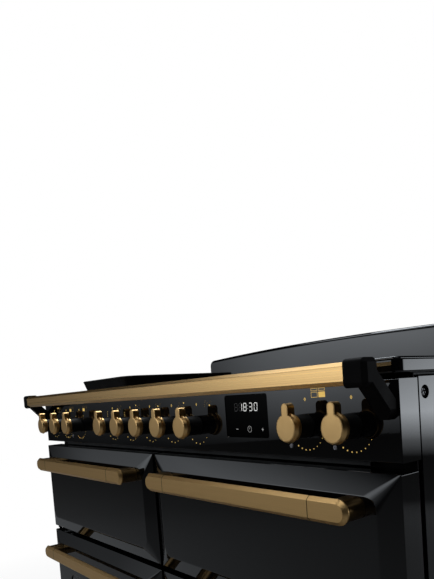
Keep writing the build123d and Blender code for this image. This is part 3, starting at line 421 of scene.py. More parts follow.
def node_in(tree, kind, inputs, **settings):
    """A new shader node: inputs by name or number are linked to sockets or set to constants."""
    node = tree.nodes.new("ShaderNode" + kind)
    for name, value in settings.items():
        setattr(node, name, value)
    for name, value in inputs.items():
        if isinstance(value, bpy.types.NodeSocket):
            tree.links.new(value, node.inputs[name])
        else:
            node.inputs[name].default_value = value
    return node


def math_of(tree, operation, first, second):
    """Two values put through a math node."""
    return node_in(tree, "Math", {0: first, 1: second}, operation=operation).outputs[0]


def vector_math(tree, operation, *values):
    """Vectors put through a vector math node."""
    return node_in(tree, "VectorMath", dict(enumerate(values)), operation=operation).outputs


def axes_of(tree, vector):
    """A vector's three values."""
    return node_in(tree, "SeparateXYZ", {0: vector}).outputs


def ranged(tree, value, low, high, span=(0.3, 0.7)):
    """A value spread between two ends."""
    ends = {"Value": value, "From Min": span[0], "From Max": span[1], "To Min": low, "To Max": high}
    return node_in(tree, "MapRange", ends).outputs["Result"]


def mixed(tree, fac, first, second):
    """Two colours mixed by a factor."""
    return node_in(tree, "Mix", {0: fac, 6: first, 7: second}, data_type="RGBA").outputs[2]


def ramped(tree, value, stops):
    """A value led through a ramp of (position, level) stops."""
    node = node_in(tree, "ValToRGB", {"Fac": value})
    ramp = node.color_ramp
    while len(ramp.elements) < len(stops):
        ramp.elements.new(1.0)
    for element, (position, level) in zip(ramp.elements, stops):
        element.position = position
        element.color = (level, level, level, 1.0)
    return node.outputs["Color"]


def noise_in(tree, vector, scale, detail):
    """Noise over a vector."""
    return node_in(tree, "TexNoise", {"Vector": vector, "Scale": scale, "Detail": detail}).outputs["Fac"]


def rgba(value, share=1.0):
    """A colour times a share, with full alpha."""
    return (*(share * channel for channel in value), 1.0)


def new_group(name, inputs, outputs):
    """An empty shader group that takes a vector and the named inputs: one number is a value, three are
    a vector and four a colour."""
    kinds = {1: "NodeSocketFloat", 3: "NodeSocketVector", 4: "NodeSocketColor"}
    tree = bpy.data.node_groups.new(name, "ShaderNodeTree")
    tree.interface.new_socket("Vector", in_out="INPUT", socket_type="NodeSocketVector")
    for label, value in inputs.items():
        socket = tree.interface.new_socket(label, in_out="INPUT", socket_type=kinds[np.size(value)])
        socket.default_value = value
    for label in outputs:
        kind = "NodeSocketColor" if label == "Color" else "NodeSocketFloat"
        tree.interface.new_socket(label, in_out="OUTPUT", socket_type=kind)
    given, out = tree.nodes.new("NodeGroupInput"), tree.nodes.new("NodeGroupOutput")
    return tree, given.outputs, out.inputs


def build_groups():
    """Shader groups that several finishes share."""
    tree, given, out = new_group("surface_mottle", {"Scale": 8.0, "Low": 0.1, "High": 0.2}, ["Value"])
    cloud = noise_in(tree, given["Vector"], given["Scale"], 5.0)
    tree.links.new(ranged(tree, cloud, given["Low"], given["High"]), out["Value"])

    tree, given, out = new_group(
        "brushed_lines",
        {"Stretch": (4.0, 900.0, 900.0), "Low": 0.2, "High": 0.4, "Dark": BLACK, "Light": WHITE},
        ["Color", "Roughness", "Height"],
    )
    drawn = vector_math(tree, "MULTIPLY", given["Vector"], given["Stretch"])["Vector"]
    lines = noise_in(tree, drawn, 1.0, 4.0)
    tone = ranged(tree, lines, 0.0, 1.0)
    tree.links.new(mixed(tree, tone, given["Dark"], given["Light"]), out["Color"])
    tree.links.new(ranged(tree, lines, given["High"], given["Low"]), out["Roughness"])
    tree.links.new(tone, out["Height"])

    tree, given, out = new_group("grain", {"Scale": 400.0}, ["Height"])
    fine = noise_in(tree, given["Vector"], given["Scale"], 2.0)
    tree.links.new(ranged(tree, fine, 0.0, 1.0), out["Height"])

    tree, given, out = new_group(
        "enamel_speckle", {"Scale": 300.0, "Ground": BLACK, "Speck": WHITE}, ["Color"]
    )
    cells = node_in(tree, "TexVoronoi", {"Vector": given["Vector"], "Scale": given["Scale"]})
    spot = ranged(tree, cells.outputs["Distance"], 1.0, 0.0, (0.12, 0.2))
    tree.links.new(mixed(tree, spot, given["Ground"], given["Speck"]), out["Color"])

    tree, given, out = new_group(
        "settled_dust", {"Ground": BLACK, "Dust": WHITE, "Amount": 0.05}, ["Color"]
    )
    facing = tree.nodes.new("ShaderNodeNewGeometry").outputs["Normal"]
    up = ranged(tree, axes_of(tree, facing)["Z"], 0.0, 1.0, (0.5, 1.0))
    patch = ranged(tree, noise_in(tree, given["Vector"], 14.0, 6.0), 0.0, given["Amount"])
    dusty = math_of(tree, "MULTIPLY", up, patch)
    tree.links.new(mixed(tree, dusty, given["Ground"], given["Dust"]), out["Color"])


class Finish:
    """A node material with short ways to place the shared groups in it."""

    def __init__(self, name, **values):
        self.material = bpy.data.materials.new(name)
        FINISHES[name] = self.material
        self.material.use_nodes = True
        self.tree = self.material.node_tree
        self.shader = self.tree.nodes["Principled BSDF"]
        for socket, value in values.items():
            self.shader.inputs[socket.replace("_", " ")].default_value = value
        self.place = self.tree.nodes.new("ShaderNodeTexCoord").outputs["Object"]

    def group(self, name, **values):
        """Places a shared group with its own values."""
        shared = bpy.data.node_groups[name]
        inputs = {"Vector": self.place, **values}
        return node_in(self.tree, "Group", inputs, node_tree=shared).outputs

    def feed(self, output, *sockets):
        """Links an output to sockets of the shader."""
        for socket in sockets:
            self.tree.links.new(output, self.shader.inputs[socket])

    def mottled(self, scale, rough):
        """Lets the roughness drift between two values."""
        mottle = self.group("surface_mottle", Scale=scale, Low=rough[0], High=rough[1])
        self.feed(mottle["Value"], "Roughness")

    def bump(self, height, strength, distance=0.0005):
        """Raises the surface by a height."""
        inputs = {"Strength": strength, "Distance": distance, "Height": height}
        self.feed(node_in(self.tree, "Bump", inputs).outputs["Normal"], "Normal")


def enamel_finish(name, base, rough, speck=None):
    """Gloss enamel: mottled gloss, a slight orange peel, dust on level faces, and specks if asked."""
    made = Finish(name, IOR=1.5)
    if speck is None:
        tone = made.group("settled_dust", Ground=rgba(base), Dust=(0.06, 0.06, 0.06, 1.0), Amount=0.03)
    else:
        tone = made.group("enamel_speckle", Ground=rgba(base), Speck=rgba(speck))
    made.feed(tone["Color"], "Base Color")
    made.mottled(7.0, rough)
    made.bump(made.group("grain", Scale=260.0)["Height"], 0.004)


def coated_finish(name, base, rough, grain, height, shine):
    """Coated or moulded surface: cloudy tone, mottled roughness and a fine grain."""
    made = Finish(name, Specular_IOR_Level=shine)
    tone = made.group(
        "brushed_lines", Stretch=(30.0, 30.0, 30.0), Dark=rgba(base, 0.8), Light=rgba(base, 1.2)
    )
    made.feed(tone["Color"], "Base Color")
    made.mottled(26.0, rough)
    made.bump(made.group("grain", Scale=grain)["Height"], height)


def brushed_finish(name, dark, light, stretch, rough, height):
    """Brushed metal: long fine lines that vary the colour, the roughness and the height."""
    made = Finish(name, Metallic=1.0)
    lines = made.group(
        "brushed_lines", Stretch=stretch, Low=rough[0], High=rough[1], Dark=rgba(dark), Light=rgba(light)
    )
    made.feed(lines["Color"], "Base Color")
    made.feed(lines["Roughness"], "Roughness")
    made.bump(lines["Height"], height, 0.0002)


def glass_finish(name, base, through, rough, shine=0.5):
    """Glass with a faint wiped haze."""
    made = Finish(name, IOR=1.5, Transmission_Weight=through, Specular_IOR_Level=shine)
    dust = made.group("settled_dust", Ground=rgba(base), Dust=(0.12, 0.12, 0.12, 1.0), Amount=0.05)
    made.feed(dust["Color"], "Base Color")
    made.mottled(11.0, rough)


def print_finish(name, base, glow, share=1.0):
    """Printed or lit marks: a slightly uneven tone over the ink, with a glow that on printed marks is
    painted light.
    """
    made = Finish(name, Emission_Strength=glow)
    dark, light = rgba(base, 0.85 * share), rgba(base, share)
    tone = made.group("brushed_lines", Stretch=(700.0, 700.0, 700.0), Dark=dark, Light=light)
    made.feed(tone["Color"], "Base Color", "Emission Color")
    made.mottled(60.0, (0.4, 0.55))


class COOKER_OT_finishes(bpy.types.Operator):
    """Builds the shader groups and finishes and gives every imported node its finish"""

    bl_idname = "cooker.finishes"
    bl_label = "Finishes"

    def execute(self, context):
        tones = sizes("colours")
        build_groups()
        enamel_finish("gloss_black_enamel", tones.enamel, (0.018, 0.04))
        enamel_finish("cavity_enamel", (0.030, 0.031, 0.035), (0.12, 0.22), (0.32, 0.34, 0.37))
        coated_finish("satin_black", tones.satin, (0.42, 0.55), 1500.0, 0.06, 0.022)
        for row in COATED:
            coated_finish(*row)
        lines, long_lines = (tones.brass_line, tones.brass), (0.8, 520.0, 520.0)
        brushed_finish("brushed_brass", *lines, long_lines, (0.26, 0.31), 0.002)
        brushed_finish("handle_brass", *lines, long_lines, (0.34, 0.41), 0.004)
        brushed_finish("knob_brass", *lines, (90.0, 90.0, 90.0), (0.32, 0.37), 0.003)
        for row in BRUSHED:
            brushed_finish(*row)
        glass_finish("black_ceramic_glass", (0.003, 0.003, 0.004), 0.0, (0.03, 0.07))
        glass_finish("display_glass", (0.0008, 0.0008, 0.0009), 0.0, (0.05, 0.09), 0.015)
        glass_finish("smoked_glass", (0.05, 0.05, 0.055), 0.7, (0.02, 0.05))
        # The fascia's gold print and its faint outlines glow: painted light that brightens the print.
        print_finish("gold_print_painted_glow", tones.mark, 0.7)
        print_finish("faint_print_painted_glow", tones.mark, 0.1, 0.3)
        print_finish("lit_digits", tones.digit, 0.62)
        print_finish("dim_digits", tones.digit, 0.4, 0.6)
        print_finish("unlit_digits", (0.009, 0.006, 0.004), 0.08)
        print_finish("grey_print", tones.zone, 0.0)
        for part in frame["record"]["subparts"]:
            node = frame["nodes"][part["node"]]
            if not node.material_slots:
                node.data.materials.append(None)
            for holder in node.material_slots:
                holder.material = FINISHES[OTHER_FINISH.get(part["node"], part["material_slot"])]
        return {"FINISHED"}


def front_surface(box, window, depth):
    """Pressed front: the sheet's profile, from the back of the field round the rim to the front of the
    field, gives a share of the bevel, a depth and a corner radius for each ring of the outline. A window
    adds rings for its rim and joins the two faces."""
    s = sizes("fronts")
    low, high, centre, half = box
    sheet, bevel = s.sheet, s.bevel_w
    rise = high.y - low.y - s.depth
    slope = math.hypot(bevel, rise)
    inner_edge = sheet * bevel / slope - (sheet - sheet * rise / slope) * rise / bevel
    inner_in = sheet + (inner_edge + rise - sheet) * bevel / rise
    field = 0.006
    inset, y = rounded_path(
        [(inner_in + field, sheet - rise), (inner_in, sheet - rise), (sheet, inner_edge), (sheet, depth),
         (0.0, depth), (0.0, 0.0), (bevel, -rise), (bevel + field, -rise)],
        [0.003, 0.0004, 0.0, 0.0005, s.edge_round, s.field_round],
    ).T
    aside = inset * np.where(inset > sheet, s.bevel_side / bevel, 1.0)
    radius = s.corner + (s.field_corner - s.corner) * np.clip(inset / bevel, 0.0, 1.0)
    edge = high.y - s.depth
    rows = upright(rounded_outline(half[0] - aside, half[1] - inset, radius), edge + y, centre)
    if not window:
        return skin(rows)
    wider, y = rounded_path(
        [(0.004, -rise), (0.0, -rise), (0.0, sheet - rise), (0.004, sheet - rise)], [0.0009, 0.0003], 5
    ).T
    pane = rounded_outline(s.window_w / 2 + wider, s.window_h / 2 + wider, s.field_corner + wider)
    middle = (centre[0], high.z - s.window_drop - s.window_h / 2)
    return skin(np.concatenate([rows, upright(pane, edge + y, middle)]), closed=True)


def notched_flange(box, start):
    """Flange round the back of the grill door, open where its lugs pass: a flat section, given by the
    outline and the same outline one sheet further in, carried along each run between two notches."""
    s = sizes("fronts")
    _, high, centre, half = box
    inset = np.array([0.0, s.sheet])
    corner_steps = 10
    outline = rounded_outline(half[0] - inset, half[1] - inset, s.corner - 0.6 * inset, corner_steps)
    outline = np.roll(outline, corner_steps, axis=1)
    lugs = half[0] - s.lug_in
    near, far = lugs - s.lug_gap, lugs + s.lug_gap
    ends = [np.stack([np.full(2, x), inset - half[1]], -1)[:, None] for x in (far, -far, -near, near)]
    runs = [np.concatenate([ends[0], outline, ends[1]], 1), np.concatenate(ends[2:], 1)]
    parts = []
    for outer, inner in runs:
        corners = [(outer, start), (outer, high.y), (inner, high.y), (inner, start)]
        section = [upright(line, (y,), centre)[0] for line, y in corners]
        parts.append(skin(np.stack(section, 1)))
    return joined(*parts)


class COOKER_OT_fronts(bpy.types.Operator):
    """Builds the bevelled fronts of the grill door, the drawer and the two oven doors"""

    bl_idname = "cooker.fronts"
    bl_label = "Door and drawer fronts"

    def execute(self, context):
        depth = sizes("fronts").depth
        stub = 0.0006
        for body, node in FRONTS.items():
            box = plan(node)
            if body == "grill_door":
                flange = notched_flange(box, box[1].y - depth + stub)
                surface = joined(front_surface(box, False, stub), flange)
            else:
                surface = front_surface(box, body.endswith("oven_door"), depth)
            piece(body + "_front", surface, "gloss_black_enamel", body, [node])
        return {"FINISHED"}


class COOKER_OT_handles(bpy.types.Operator):
    """Builds the brass bar handles with their posts and joint lines"""

    bl_idname = "cooker.handles"
    bl_label = "Handles"

    def execute(self, context):
        s = sizes("trim")
        edge = s.handle_edge
        seam_proud, seam_deep = 0.00006, 0.00048
        for body in FRONTS:
            low, high, centre, (half_l, half_h) = plan(body + "_handle")
            front, back = low.y, low.y + s.handle_t
            inset, y = rounded_path(
                [(0.004, back), (0.0, back), (0.0, front + edge), (edge, front), (edge + 0.003, front)],
                [0.0006, 0.0004, 0.0004],
            ).T
            outline = rounded_outline(half_l - inset, half_h - inset, half_h - inset, 14)
            bar = skin(upright(outline, y, centre))
            piece(body + "_bar", bar, "handle_brass", body, [body + "_handle"])

            inset, y = rounded_path(
                [(0.0015, high.y), (0.0, high.y), (0.0, back - 0.001)], [0.0006], 5
            ).T
            post_h = half_h - s.post_inset - inset
            foot = rounded_outline(s.post_l / 2 - inset, post_h, post_h, 14)
            reach = half_l - s.post_inset - s.post_l / 2
            posts = [skin(upright(foot, y, centre + (side * reach, 0.0))) for side in (-1, 1)]
            # The posts take the darker brass copy, which is painted shade.
            piece(body + "_bar_posts", joined(*posts), "post_brass_painted_shade", body)

            section = (0.0, centre[1]) + np.array([
                (front, edge - half_h), (front + edge, -half_h), (back, -half_h),
                (back, half_h), (front + edge, half_h), (front, half_h - edge),
            ])
            away = np.sign(section - section.mean(0))
            outer, inner = section + seam_proud * away, section - seam_deep * away
            rings = np.stack([outer, outer, inner, inner])
            width = s.seam_w / 2 * np.array([-1.0, 1.0, 1.0, -1.0])
            places = (low.x + s.seam_in, high.x - s.seam_in)
            seams = [skin(sideways(rings, x + width), closed=True) for x in places]
            piece(body + "_bar_seams", joined(*seams), "seam_brass", body)
        return {"FINISHED"}


class COOKER_OT_handrail(bpy.types.Operator):
    """Builds the brass handrail: a chamfered section carried along X"""

    bl_idname = "cooker.handrail"
    bl_label = "Handrail"

    def execute(self, context):
        s = sizes("trim")
        low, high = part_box("handrail")
        c, g = s.rail_edge, s.rail_groove
        upper, lower = high.z - c, low.z + c
        section = rounded_ring(
            [(low.y + c, low.z), (high.y - c, low.z), (high.y, lower), (high.y, upper),
             (high.y - c, high.z), (low.y + c, high.z), (low.y, upper), (low.y + g, upper - 0.2 * g),
             (low.y + g, upper - g), (low.y, upper - 1.2 * g), (low.y, lower)],
            np.array([1.0, 1.0, 1.0, 1.0, 1.0, 1.0, 0.2, 0.0, 0.0, 0.2, 1.0]) * s.rail_round,
        )
        rail = skin(sideways(section, np.linspace(low.x, high.x, 9)))
        piece("handrail_bar", rail, "brushed_brass", ROOT, ["handrail"])
        return {"FINISHED"}


def knob_axis(name):
    """Where a knob's axis lies, in X and Z."""
    low, _, centre, _ = plan(name + "_knob")
    return np.array([centre[0], low.z + sizes("knobs").disc])


class COOKER_OT_knobs(bpy.types.Operator):
    """Builds the lever knobs: brass disc, lever and ring on a black skirt"""

    bl_idname = "cooker.knobs"
    bl_label = "Lever knobs"

    def execute(self, context):
        s = sizes("knobs")
        outline = keyhole_outline(s.face, s.lever_w, s.lever_up, s.blend)
        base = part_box("control_fascia")[0].y - 0.0005
        core = 0.010
        for name in KNOBS:
            centre, front = knob_axis(name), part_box(name + "_knob")[0].y
            back = front + s.cap
            end = back + s.ring_d
            inset, y = rounded_path(
                [(0.003, front + 0.0012), (0.0, front + 0.0012), (0.0, front + s.rim_d), (s.rim_w, front),
                 (s.rim_w + 0.0008, front)],
                [0.0, 0.0002, 0.0002], 4,
            ).T
            face = skin(upright(drawn_in(outline, inset), y, centre))
            tail = front + s.lever_d
            inset, y = rounded_path(
                [(0.002, tail), (0.0001, tail), (0.0001, front + 0.0008)], [0.0005], 5
            ).T
            half, reach = s.lever_w / 2 - inset, s.lever_up / 2
            bar = rounded_outline(half, reach - inset, half, 12)
            lever = skin(upright(bar, y, centre + (0.0, reach)))
            disc = rounded_path(
                [(core, end), (s.ring, end), (s.ring, end - 0.0036), (s.groove, end - 0.0040),
                 (s.groove, back), (s.disc, back), (s.disc, front + s.cone), (s.face, front + s.rim_d),
                 (core, front + s.rim_d)],
                [0.0005, 0.0005, 0.0003, 0.0, 0.0005, 0.0006, 0.0], 5,
            )
            brass = joined(face, lever, skin(turned(disc, centre, 72)))
            body = name + "_control"
            piece(name + "_knob_cap", brass, "knob_brass", body, [name + "_knob"])
            tip = end - 0.0002
            skirt = rounded_path(
                [(0.008, base), (s.skirt + 0.0002, base), (s.skirt - 0.0002, tip), (0.008, tip)],
                [0.0006, 0.0004], 5,
            )
            piece(name + "_knob_skirt", skin(turned(skirt, centre)), "black_plastic", body)
        return {"FINISHED"}


class COOKER_OT_fascia_marks(bpy.types.Operator):
    """Prints the gold scales, position marks and layout signs on the fascia"""

    bl_idname = "cooker.fascia_marks"
    bl_label = "Fascia marks"

    def execute(self, context):
        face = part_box("control_fascia")[0].y
        back, front = face + 0.0002, face - 0.00006
        axis = {name: knob_axis(name) for name in KNOBS}
        solid, faint = [], []

        def dots(radius, places):
            solid.append(plates(disc_outline(radius), places, back, front))

        scales = (
            (HEATS, 0.031, np.linspace(237.0, 330.0, 8), np.linspace(0.00105, 0.0005, 8)),
            ((*ZONES, "grill"), 0.030, (231.0, 254.0, 275.0, 296.0, 319.0), np.linspace(0.0011, 0.0006, 5)),
        )
        for knobs, reach, turns, radii in scales:
            for turn, radius in zip(np.radians(turns), radii):
                out = (reach * math.cos(turn), reach * math.sin(turn))
                dots(radius, [axis[name] + out for name in knobs])
        off_mark = disc_outline(1.0, 4) * (0.0019, 0.0025)
        above = [axis[name] + (0.0, 0.0335) for name in KNOBS]
        solid.append(hoop(off_mark, off_mark * 0.5, above, back, front))

        layout = np.array(
            [(0.0232, 0.0313), (0.0245, 0.0370), (0.0306, 0.0336), (0.0393, 0.0368), (0.0366, 0.0313)]
        )
        ring = disc_outline(0.0020, 12)
        for n, zone in enumerate(ZONES):
            dots(0.0014, [axis[zone] + layout[n]])
            others = axis[zone] + np.delete(layout, n, 0)
            faint.append(hoop(ring, ring * 0.82, others, back, front))
        columns = {"zone_one": (0.0270, 0.0223, 0.0178), "zone_two": (0.0240, 0.0207, 0.0176)}
        for zone, heights in columns.items():
            dots(0.0008, [axis[zone] + (-0.0248, height) for height in heights])

        beside = (0.0330, 0.0358)
        between = (axis["drawer_heat"] + axis["right_oven_heat"]) / 2 + (-0.0148, 0.0410)
        signs = [
            (axis["left_oven_mode"] + beside, 2, faint), (axis["left_oven_heat"] + beside, 2, faint),
            (axis["grill"] + beside, 0, faint), (between, 3, solid),
        ]
        cells = np.array([(-0.0065, 0.0040), (0.0065, 0.0040), (-0.0065, -0.0024), (0.0065, -0.0024)])
        halves = np.array([(0.0055, 0.0017), (0.0055, 0.0017), (0.0055, 0.0034), (0.0055, 0.0034)])
        for place, lit, lines in signs:
            for cell, half in zip(cells, halves):
                outer, inner = bar_outline(*half), bar_outline(*(half - 0.0005))
                lines.append(hoop(outer, inner, [place + cell], back, front))
            filled = bar_outline(*(halves[lit] - 0.0004))
            solid.append(plates(filled, [place + cells[lit]], back, front - 0.00002))
        loose = [(-0.0208, 0.0193), (0.0217, 0.0197), (-0.0095, -0.0292), (0.0100, -0.0285)]
        dots(0.0009, axis["left_oven_heat"] + np.array(loose))
        below = axis["left_oven_mode"] + (0.0, -0.0292)
        solid.append(plates(bar_outline(0.0022, 0.0004), [below], back, front))
        # Both print finishes carry a painted glow.
        piece("fascia_outlines", joined(*faint), "faint_print_painted_glow", ROOT)
        piece("fascia_marks", joined(*solid), "gold_print_painted_glow", ROOT)
        return {"FINISHED"}


class COOKER_OT_clock(bpy.types.Operator):
    """Lights the clock: four figures of straight bars, a colon and three touch signs"""

    bl_idname = "cooker.clock"
    bl_label = "Clock"

    def execute(self, context):
        low, _, centre, half = plan("clock_module")
        back, front = low.y + 0.0001, low.y - 0.00008
        tall, wide, thick = 0.0109, 0.0064, 0.0011
        level_bar = segment_outline(wide - 0.0006, thick)
        upright_bar = segment_outline(tall / 2 - 0.0004, thick)[:, ::-1] * (-1.0, 1.0)
        # The seven bars of a figure: a, g and d lie level, f and b stand above e and c
        spots = {
            "a": (0.0, tall / 2), "g": (0.0, 0.0), "d": (0.0, -tall / 2),
            "f": (-wide / 2, tall / 4), "b": (wide / 2, tall / 4),
            "e": (-wide / 2, -tall / 4), "c": (wide / 2, -tall / 4),
        }
        lit = {-0.0231: "", -0.0126: "bc", -0.0021: "abcdefg", 0.0110: "abcdg", 0.0225: "abcdef"}
        unlit = {x: [name for name in spots if name not in on] for x, on in lit.items()}
        row = centre + (0.0, 0.0129)
        lean = np.array([[1.0, 0.0], [0.06, 1.0]])

        def bars(figures, depth):
            parts = []
            for shape, names in ((level_bar, "agd"), (upright_bar, "fbec")):
                used = [(x, name) for x, on in figures.items() for name in on if name in names]
                places = np.array([np.add(spots[name], (x, 0.0)) for x, name in used])
                parts.append(plates(shape, places @ lean + row, back, depth))
            return joined(*parts)

        keys = centre + np.array([(-0.0236, -0.0191), (0.0348, -0.0191)])
        ring = disc_outline(0.0045, 28)
        dial = centre + (0.0056, -0.0188)
        colon = np.array([(0.0045, -0.0022), (0.0045, 0.0022)]) @ lean + row
        signs = joined(
            plates(disc_outline(0.0006), colon, back, front),
            plates(bar_outline(0.0021, 0.0005), keys, back, front),
            plates(bar_outline(0.0005, 0.0021), keys[1:], back, front - 0.00002),
            hoop(ring, ring * 0.89, [dial], back, front),
            plates(bar_outline(0.0003, 0.0012), [dial + (0.0, 0.0012)], back, front),
        )
        outer, inner = (rounded_outline(*(half - inset), 0.004 - inset)[0] for inset in (0.0001, 0.0008))
        rim = hoop(outer, inner, [centre], back, low.y - 0.00003)
        # The rim's grey band is a painted highlight of the clock's bevelled edge.
        piece("clock_rim", rim, "clock_edge_painted_highlight", ROOT)
        piece("clock_keys", signs, "dim_digits", ROOT)
        piece("clock_unlit", bars(unlit, front + 0.00003), "unlit_digits", ROOT)
        piece("clock_figures", bars(lit, front), "lit_digits", ROOT)
        return {"FINISHED"}


class COOKER_OT_upstand(bpy.types.Operator):
    """Builds the hollow upstand: arched rings carried from its inner face round the rear to the front"""

    bl_idname = "cooker.upstand"
    bl_label = "Upstand"

    def execute(self, context):
        s = sizes("hob")
        low, high, centre, (half_w, _) = plan("upstand")
        floor = low.y + s.face
        inside = rounded_path(
            [(s.wall + 0.004, floor), (s.wall, floor), (s.wall, high.y)], [0.001], 12
        )
        outside = rounded_path(
            [(s.wall, high.y), (0.0, high.y), (0.0, low.y), (s.arch_round + 0.004, low.y)],
            [0.0005, s.arch_round], 12,
        )[1:]
        inset, y = np.vstack([inside, outside]).T
        base = low.z + np.repeat([s.wall, 0.0], [len(inside), len(outside)])
        outline = arched_outline(half_w, base, high.z - s.arch, s.arch, s.arch_corner, inset)
        shell = skin(upright(outline, y, (centre[0], 0.0)))
        piece("upstand_shell", shell, "gloss_black_enamel", ROOT, ["upstand"])

        radius = (half_w**2 + s.arch**2) / (2 * s.arch)
        # The slots are flat black plates on the upstand's top that stand in for the dark inside of vent
        # openings: painted shade.
        slot, pitch, count, from_back = bar_outline(0.008, 0.003), 0.024, 8, 0.023
        slots = []
        for middle in (-0.300, 0.0, 0.300):
            x = middle + pitch * (np.arange(count) - (count - 1) / 2)
            top = high.z - radius + np.sqrt(radius**2 - x**2)
            places = np.stack([x, np.full(count, high.y - from_back)], -1)
            points, *faces = plates(slot, places, 0.0003, 0.0)
            level = np.repeat(top, 2 * len(slot)) - points[:, 1]
            slots.append((np.stack([points[:, 0], points[:, 2], level], -1), *faces))
        # Black plates as the slots' painted shade.
        piece("upstand_slots", joined(*slots), "black_rubber", ROOT)
        return {"FINISHED"}


class COOKER_OT_hob_glass(bpy.types.Operator):
    """Builds the hob glass: a sheet with round corners and a half-round edge"""

    bl_idname = "cooker.hob_glass"
    bl_label = "Hob glass"

    def execute(self, context):
        s = sizes("hob")
        low, high, centre, (half_w, half_d) = plan("hob_glass", "xy")
        half_t = (high.z - low.z) / 2
        t = np.linspace(-math.pi / 2, math.pi / 2, 13)
        inset = np.concatenate([[0.006], half_t * (1.0 - np.cos(t)), [0.006]])
        level = np.concatenate([[low.z], (low.z + high.z) / 2 + half_t * np.sin(t), [high.z]])
        corner = s.glass_corner - np.minimum(inset, 0.004)
        sheet = skin(lying(rounded_outline(half_w - inset, half_d - inset, corner), level, centre))
        glass = "black_ceramic_glass"
        piece("hob_glass_sheet", sheet, glass, ROOT, ["hob_glass"])
        return {"FINISHED"}


class COOKER_OT_griddle(bpy.types.Operator):
    """Builds the flared griddle plate: rounded rings carried from its foot over the lip to its base"""

    bl_idname = "cooker.griddle"
    bl_label = "Griddle plate"

    def execute(self, context):
        s = sizes("hob")
        low, high, centre, (half_w, half_d) = plan("griddle_plate", "xy")
        foot, floor = s.plate_flare, low.z + s.plate_base
        inner = s.plate_wall + foot * (high.z - floor) / (high.z - low.z)
        inset, level = rounded_path(
            [(foot + 0.006, low.z), (foot, low.z), (0.0, high.z), (s.plate_wall, high.z), (inner, floor),
             (inner + 0.012, floor)],
            [0.002, 0.0021, 0.0021, 0.006], 8,
        ).T
        outline = rounded_outline(half_w - inset, half_d - inset, s.plate_corner - inset, 16)
        casting, iron = skin(lying(outline, level, centre)), "black_cast_iron"
        piece("griddle_casting", casting, iron, "griddle", ["griddle_plate"])
        return {"FINISHED"}


class COOKER_OT_side_bolts(bpy.types.Operator):
    """Sets a steel bolt head into the recess of each side panel"""

    bl_idname = "cooker.side_bolts"
    bl_label = "Side bolts"

    def execute(self, context):
        s = sizes("hob")
        y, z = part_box("face_frame")[0].y + 0.0195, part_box("control_fascia")[1].z - 0.0165
        corners = np.radians(np.arange(0.0, 360.0, 60.0) + 15.0)
        hexagon = rounded_ring(s.bolt_head * np.stack([np.cos(corners), np.sin(corners)], -1), 0.0005)
        seat = 0.0079
        inset, depth = rounded_path(
            [(0.002, seat), (0.0, seat), (0.0, 0.0029), (0.0012, 0.0022), (0.0032, 0.0022)],
            [0.0, 0.0003, 0.0003], 5,
        ).T
        rim = rounded_path(
            [(0.004, seat), (s.bolt, seat), (s.bolt, 0.0071), (0.004, 0.0068)], [0.0002, 0.0003], 5
        )
        head = skin(upright(drawn_in(hexagon, inset), depth))
        points, *faces = joined(head, skin(turned(rim, (0.0, 0.0), 40)))
        for side, name in ((1.0, "right_side_panel"), (-1.0, "left_side_panel")):
            low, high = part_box(name)
            face = high.x if side > 0 else low.x
            placed = np.stack(
                [face - side * points[:, 1], y + side * points[:, 0], z + points[:, 2]], -1
            )
            piece(name + "_bolt", (placed, *faces), "bolt_steel", ROOT)
        return {"FINISHED"}


class COOKER_OT_hob_marks(bpy.types.Operator):
    """Prints the cooking zones on the hob glass: thin rings with a cross in the middle"""

    bl_idname = "cooker.hob_marks"
    bl_label = "Hob marks"

    def execute(self, context):
        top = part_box("hob_glass")[1].z
        back, front = top - 0.0003, top + 0.00006
        line, cross = 0.0011, (bar_outline(0.009, 0.0006), bar_outline(0.0006, 0.009))
        zones = [
            (-0.370, -0.111, 0.085), (-0.370, 0.099, 0.085), (0.0, -0.006, 0.128),
            (0.340, -0.111, 0.085), (0.360, 0.099, 0.101),
        ]
        parts = []
        for x, y, radius in zones:
            outer, inner = disc_outline(radius, 72), disc_outline(radius - line, 72)
            rings = np.stack([inner, outer, outer, inner])
            parts.append(skin(lying(rings, (back, back, front, front), (x, y)), closed=True))
            for outline in cross:
                points, *faces = plates(outline, [(x, y)], -back, -front)
                parts.append((points[:, [0, 2, 1]] * (1.0, 1.0, -1.0), *faces))
        piece("hob_zone_marks", joined(*parts), "grey_print", ROOT)
        return {"FINISHED"}


def softbox(name, place, aim, size, level, across=(), upward=()):
    """A soft lamp of a given brightness, turned to its aim, with ramps over its width and height."""
    lamp = bpy.data.lights.new(name, "AREA")
    lamp.shape = "RECTANGLE"
    lamp.size, lamp.size_y = size
    lamp.energy = level * math.pi * size[0] * size[1]
    lamp.color = sizes("stage").tint
    if across or upward:
        lamp.use_nodes = True
        tree = lamp.node_tree
        spot = axes_of(tree, tree.nodes.new("ShaderNodeNewGeometry").outputs["Parametric"])
        strength = 1.0
        for axis, stops in (("X", across), ("Y", upward)):
            if stops:
                strength = math_of(tree, "MULTIPLY", strength, ramped(tree, spot[axis], stops))
        tree.links.new(strength, tree.nodes["Emission"].inputs["Strength"])
    made = bpy.data.objects.new(name, lamp)
    bpy.context.scene.collection.objects.link(made)
    made.location = place
    made.rotation_euler = (Vector(aim) - Vector(place)).to_track_quat("-Z", "Y").to_euler()
    made.visible_camera = False


def seen_by(tree, first, *others):
    """One where a ray is any of the named kinds, else zero."""
    rays = tree.nodes.new("ShaderNodeLightPath").outputs
    total = rays[first]
    for other in others:
        total = math_of(tree, "MAXIMUM", total, rays[other])
    return total


